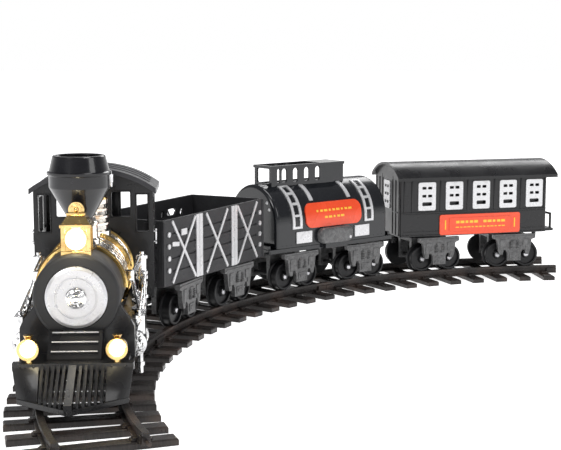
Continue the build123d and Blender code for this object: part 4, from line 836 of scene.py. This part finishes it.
def make_reservoirs():
    """Grey air reservoirs with softly rounded faces and a bright cap at the rear end."""
    skin = Shape()
    caps = Shape()
    for side in SIDES:
        rings = [(RESERVOIR_INNER, 0), (RESERVOIR_OUTER - RESERVOIR_ROUNDING, 0)]
        for step in range(1, ROUNDING_STEPS + 1):
            angle = pi / 2 * step / ROUNDING_STEPS
            depth = RESERVOIR_OUTER - RESERVOIR_ROUNDING * (1 - sin(angle))
            rings.append((depth, RESERVOIR_ROUNDING * (1 - cos(angle))))
        points = []
        for depth, inset in rings:
            size = (RESERVOIR_SIZE[0] - 2 * inset, RESERVOIR_SIZE[1] - 2 * inset)
            outline = rounded_outline(size, RESERVOIR_CORNER - inset)
            for along, upward in outline:
                points.append((along, side * depth, RESERVOIR_MIDDLE_Z + upward))
        count = len(outline)
        faces = [tuple(range(count)), tuple(range(len(points) - count, len(points)))]
        for ring in range(len(rings) - 1):
            for step in range(count):
                after = (step + 1) % count
                low, high = ring * count, (ring + 1) * count
                faces.append((low + step, low + after, high + after, high + step))
        skin.add(points, faces)
        cap = move(-14.6, side * (RESERVOIR_OUTER - 0.4), 51.6) @ facing(side)
        caps.stud(1.5, cap, height=0.7)
    skin.piece("tank_reservoirs", TANK, "tank", "truck_grey")
    caps.piece("reservoir_caps", TANK, "tank", "silver_paint")


# ---------------------------------------------------------------- coach details
COACH_FRONT = 76.0
COACH_BACK = -70.0
COACH_HALF_WIDTH = 31.8
WINDOW_CENTRES = (50.2, 23.4, -3.4, -30.3, -57.1)
BOARD_MIDDLE_X = -2.6
BOARD_DASHES_LENGTH = 50.0


def make_coach_marks():
    """Two rows of plain yellow dashes between two end bars on each red name board."""
    shape = Shape()
    for side in SIDES:
        face = side * (COACH_HALF_WIDTH + 1.85)
        for row_z, dashes, height in ((56.0, 11, 2.4), (51.2, 13, 1.0)):
            pitch = BOARD_DASHES_LENGTH / dashes
            first = BOARD_MIDDLE_X - (dashes - 1) * pitch / 2
            for dash in range(dashes):
                if height > 2 and dash == dashes // 2:
                    continue
                length = pitch * (0.86 - 0.14 * (dash % 3))
                place = move(first + dash * pitch, face, row_z)
                shape.block((length, 0.3, height), place, bevel=0.12)
        for end in SIDES:
            bar_x = BOARD_MIDDLE_X + end * 34.6
            place = move(bar_x, side * (COACH_HALF_WIDTH + 1.3), 53.7)
            shape.block((1.2, 0.3, 8.6), place, bevel=0.12)
    shape.piece("coach_marks", COACH, "coach", "plate_red", "mark_yellow")


def make_coach_mouldings():
    """Rails along the coach body and posts between its windows and on its ends."""
    shape = Shape()
    middle = (COACH_FRONT + COACH_BACK) / 2
    length = COACH_FRONT - COACH_BACK
    for side in SIDES:
        wall = side * (COACH_HALF_WIDTH + 0.25)
        shape.block((length - 1.0, 0.8, 1.2), move(middle, wall, 65.6), bevel=0.3)
        shape.block((length - 1.0, 0.8, 1.4), move(middle, wall, 44.6), bevel=0.3)
        shape.block((length - 1.0, 0.8, 1.2), move(middle, wall, 95.2), bevel=0.3)
        for post_x in (72.0, 64.6, 36.8, 10.0, -16.8, -43.7, -67.6):
            shape.block((1.3, 0.8, 28.4), move(post_x, wall, 80.4), bevel=0.3)
    for end_x in (COACH_FRONT + 0.2, COACH_BACK - 0.2):
        for across in (-28.6, -20.4, 20.4, 28.6):
            shape.block((0.8, 1.3, 50.0), move(end_x, across, 69.6), bevel=0.3)
        shape.block((0.8, 12.4, 1.2), move(end_x, 20.4, 65.6), bevel=0.3)
        shape.block((0.8, 12.4, 1.2), move(end_x, -20.4, 65.6), bevel=0.3)
        for across in (-12.6, 12.6):
            shape.block((0.8, 1.3, 50.0), move(end_x, across, 69.6), bevel=0.3)
    shape.piece("coach_mouldings", COACH, "coach", "coach_black")


WINDOW_MIDDLE_Z = 80.3


def make_coach_blinds():
    """Dark blinds just inside the coach windows."""
    shape = Shape()
    for side in SIDES:
        for centre in WINDOW_CENTRES:
            place = move(centre, side * (COACH_HALF_WIDTH - 2.5), WINDOW_MIDDLE_Z)
            shape.block((15.6, 0.6, 24.4), place, bevel=0.2)
    shape.piece("coach_blinds", COACH, "coach", "coach_black")


# ---------------------------------------------------------------- trucks and wheels
SIDE_FRAME_OUTER = 33.4
AXLE_END = 28.0
AXLE_RADIUS = 1.5
SPRING_COIL_PROFILE = ((1.2, -0.6), (1.75, -0.35), (1.75, 0.35), (1.2, 0.6))
AXLE_CAP_PROFILE = (
    (AXLE_RADIUS + 0.9, -0.7), (AXLE_RADIUS + 0.9, -0.2), (AXLE_RADIUS + 0.5, 0.1),
    (AXLE_RADIUS, 0.2), (0.3, 0.5),
)


def make_truck_fittings(car, end):
    """Springs, bolts and cover plates on the outside frames of one truck."""
    shape = Shape()
    for side in SIDES:
        face = side * (SIDE_FRAME_OUTER + 0.1)
        for spring_x in (-3.2, 3.2):
            for coil in range(5):
                place = move(spring_x, face, 29.2 + coil * 1.5)
                shape.lathe(SPRING_COIL_PROFILE, place, segments=14)
        for bolt_x in (-17.5, -12.5, 12.5, 17.5):
            shape.stud(0.75, move(bolt_x, face, 40.2) @ facing(side))
        for bolt_x, bolt_z in ((-8.6, 31.0), (8.6, 31.0), (-4.6, 20.0), (4.6, 20.0)):
            shape.stud(0.6, move(bolt_x, face, bolt_z) @ facing(side))
        for plate_x in (-12.6, 12.6):
            shape.block((3.0, 0.9, 8.4), move(plate_x, face, 31.4), bevel=0.3)
        shape.block((6.4, 1.0, 2.0), move(0, face, 36.4), bevel=0.4)
        shape.block((5.6, 1.0, 3.0), move(0, face + side * 0.4, 22.6), bevel=0.4)
    name = f"{car}_{end}_truck"
    shape.piece(f"{name}_fittings", truck_place(car, end), name, "truck_grey")


def make_axle_caps(body, axle_joint):
    """Bright pressed ends of one axle."""
    joint = joints[axle_joint]
    place = place_at(Vector(joint["pos_m"]), Vector(joint["axis"]).cross(UP))
    place.translation = Vector(joint["pos_m"])
    shape = Shape()
    for side in SIDES:
        cap = move(0, side * AXLE_END, 0) @ facing(side)
        shape.lathe(AXLE_CAP_PROFILE, cap, segments=24)
    shape.piece(f"{body}_axle_caps", place, body, "screw_steel")


# ---------------------------------------------------------------- track details
CURVE_RADIUS = 410.0
TRACK_START = 94.0
SLEEPER_STEP = 3.6
SLEEPER_COUNT = 30
RAIL_OFFSET = 24.5
SLEEPER_TOP = 4.0


def make_track_fittings():
    """Rail chairs with spike heads on every sleeper."""
    shape = Shape()
    for number in range(SLEEPER_COUNT):
        angle = TRACK_START + SLEEPER_STEP * (number + 0.5)
        for rail_radius in (CURVE_RADIUS - RAIL_OFFSET, CURVE_RADIUS + RAIL_OFFSET):
            on_rail = turn(angle, "Z") @ move(rail_radius, 0, SLEEPER_TOP)
            for across in (-4.4, 4.4):
                shape.block((2.8, 6.4, 1.1), on_rail @ move(across, 0, 0.4), bevel=0.3)
                for along in (-2.0, 2.0):
                    shape.stud(0.75, on_rail @ move(across, along, 0.95), height=0.8)
    shape.piece("track_fittings", TRACK, "track", "track_plastic")


# ---------------------------------------------------------------- all pieces
make_jacket()
make_dome_cap()
make_door_hub()
make_gear_fittings()
make_cab_trim()
make_roof_ribs()
make_door_posts()
make_pilot_bolts()
make_step_edge_highlights()
make_wagon_irons()
make_tank_marks()
make_tank_rivets()
make_reservoirs()
make_coach_marks()
make_coach_mouldings()
make_coach_blinds()
for car in ("gondola", "tank", "coach"):
    for end in ("front", "rear"):
        make_truck_fittings(car, end)
        for number in (1, 2):
            make_axle_caps(f"{car}_{end}_wheelset_{number}", f"{car}_{end}_axle_{number}")
make_track_fittings()


# ---------------------------------------------------------------- stage, lights and camera
FLOOR_REACH = 12.0         # metres
AREA_LIGHTS = (            # name, position, target, size, energy
    ("key", (-1.2, -1.4, 1.5), (0, -0.1, 0.05), (0.9, 0.9), 17),
    ("fill", (1.5, -1.0, 1.1), (0, 0, 0.05), (0.8, 1.0), 9),
    ("top", (0.1, 0.2, 1.8), (0, 0.1, 0.05), (1.2, 0.5), 12),
    ("back", (0.4, 1.8, 1.2), (0, 0, 0.05), (1.4, 0.6), 9),
)
LAMP_GLOWS = (             # name, place in the engine's frame, energy
    ("headlamp_glow", (4.0, 0, 104.0), 0.03),
    ("side_lamp_glow_left", (33.0, 25.0, 45.0), 0.012),
    ("side_lamp_glow_right", (33.0, -25.0, 45.0), 0.012),
)


def make_floor():
    """Plain pale floor."""
    floor = bpy.data.objects.new("floor", bpy.data.meshes.new("floor"))
    reach = FLOOR_REACH
    corners = [(-reach, -reach, 0), (reach, -reach, 0), (reach, reach, 0), (-reach, reach, 0)]
    floor.data.from_pydata(corners, [], [(0, 1, 2, 3)])
    paint = Paint("floor_white", (0.90, 0.90, 0.90), 0.6)
    paint.uneven_gloss(paint.noise(60), 0.05)
    paint.shader.inputs["Emission Color"].default_value = (1, 1, 1, 1)
    paint.shader.inputs["Emission Strength"].default_value = 0.85
    floor.data.materials.append(paint.done())
    bpy.context.scene.collection.objects.link(floor)


def add_area_light(name, position, target, size, energy):
    """Soft white rectangular lamp aimed at a point, all in metres."""
    light = bpy.data.lights.new(name, "AREA")
    light.shape = "RECTANGLE"
    light.size, light.size_y = size
    light.energy = energy
    lamp = bpy.data.objects.new(name, light)
    lamp.location = position
    lamp.rotation_euler = (Vector(target) - Vector(position)).to_track_quat("-Z", "Y").to_euler()
    bpy.context.scene.collection.objects.link(lamp)


def make_world():
    """White studio: bright near the horizon, darker overhead."""
    world = bpy.data.worlds.new("studio")
    bpy.context.scene.world = world
    world.use_nodes = True
    tree = world.node_tree
    place = tree.nodes.new("ShaderNodeTexCoord")
    parts = tree.nodes.new("ShaderNodeSeparateXYZ")
    ramp = tree.nodes.new("ShaderNodeValToRGB")
    ramp.color_ramp.elements[0].position = 0.06
    ramp.color_ramp.elements[0].color = (1.0, 1.0, 1.0, 1)
    ramp.color_ramp.elements[1].position = 0.22
    ramp.color_ramp.elements[1].color = (0.20, 0.20, 0.21, 1)
    tree.links.new(place.outputs["Generated"], parts.inputs["Vector"])
    tree.links.new(parts.outputs["Z"], ramp.inputs["Fac"])
    background = tree.nodes["Background"]
    tree.links.new(ramp.outputs["Color"], background.inputs["Color"])
    background.inputs["Strength"].default_value = 1.0


def add_lamp_glow(name, position, energy):
    """Small warm light just in front of a lamp, which moves with the engine."""
    light = bpy.data.lights.new(name, "POINT")
    light.energy = energy
    light.color = (1.0, 0.86, 0.55)
    light.shadow_soft_size = 4 * MM
    glow = bpy.data.objects.new(name, light)
    glow.location = LOCO @ Vector(position)
    bpy.context.scene.collection.objects.link(glow)
    glow.parent = frame["bodies"]["loco"]


# fitted to the photo; metres from the track's centre of curvature, degrees and millimetres
CAMERA_FROM_CENTRE = Vector((-0.2864, -0.79264, 0.2119))
CAMERA_PITCH = -7.88
CAMERA_LENS = 81.19


def make_camera():
    """Camera at the low front quarter, with a long lens."""
    data = bpy.data.cameras.new("camera")
    data.lens = CAMERA_LENS
    data.clip_start = 0.01
    camera = bpy.data.objects.new("camera", data)
    camera.location = Vector((CURVE_CENTRE.x, CURVE_CENTRE.y, 0)) + CAMERA_FROM_CENTRE
    camera.rotation_euler = (radians(90 + CAMERA_PITCH), 0, 0)
    bpy.context.scene.collection.objects.link(camera)
    bpy.context.scene.camera = camera


make_floor()
make_world()
for name, position, target, light_size, energy in AREA_LIGHTS:
    add_area_light(name, position, target, light_size, energy)
for name, position, energy in LAMP_GLOWS:
    add_lamp_glow(name, position, energy)
make_camera()
bpy.context.scene.view_settings.view_transform = "Standard"
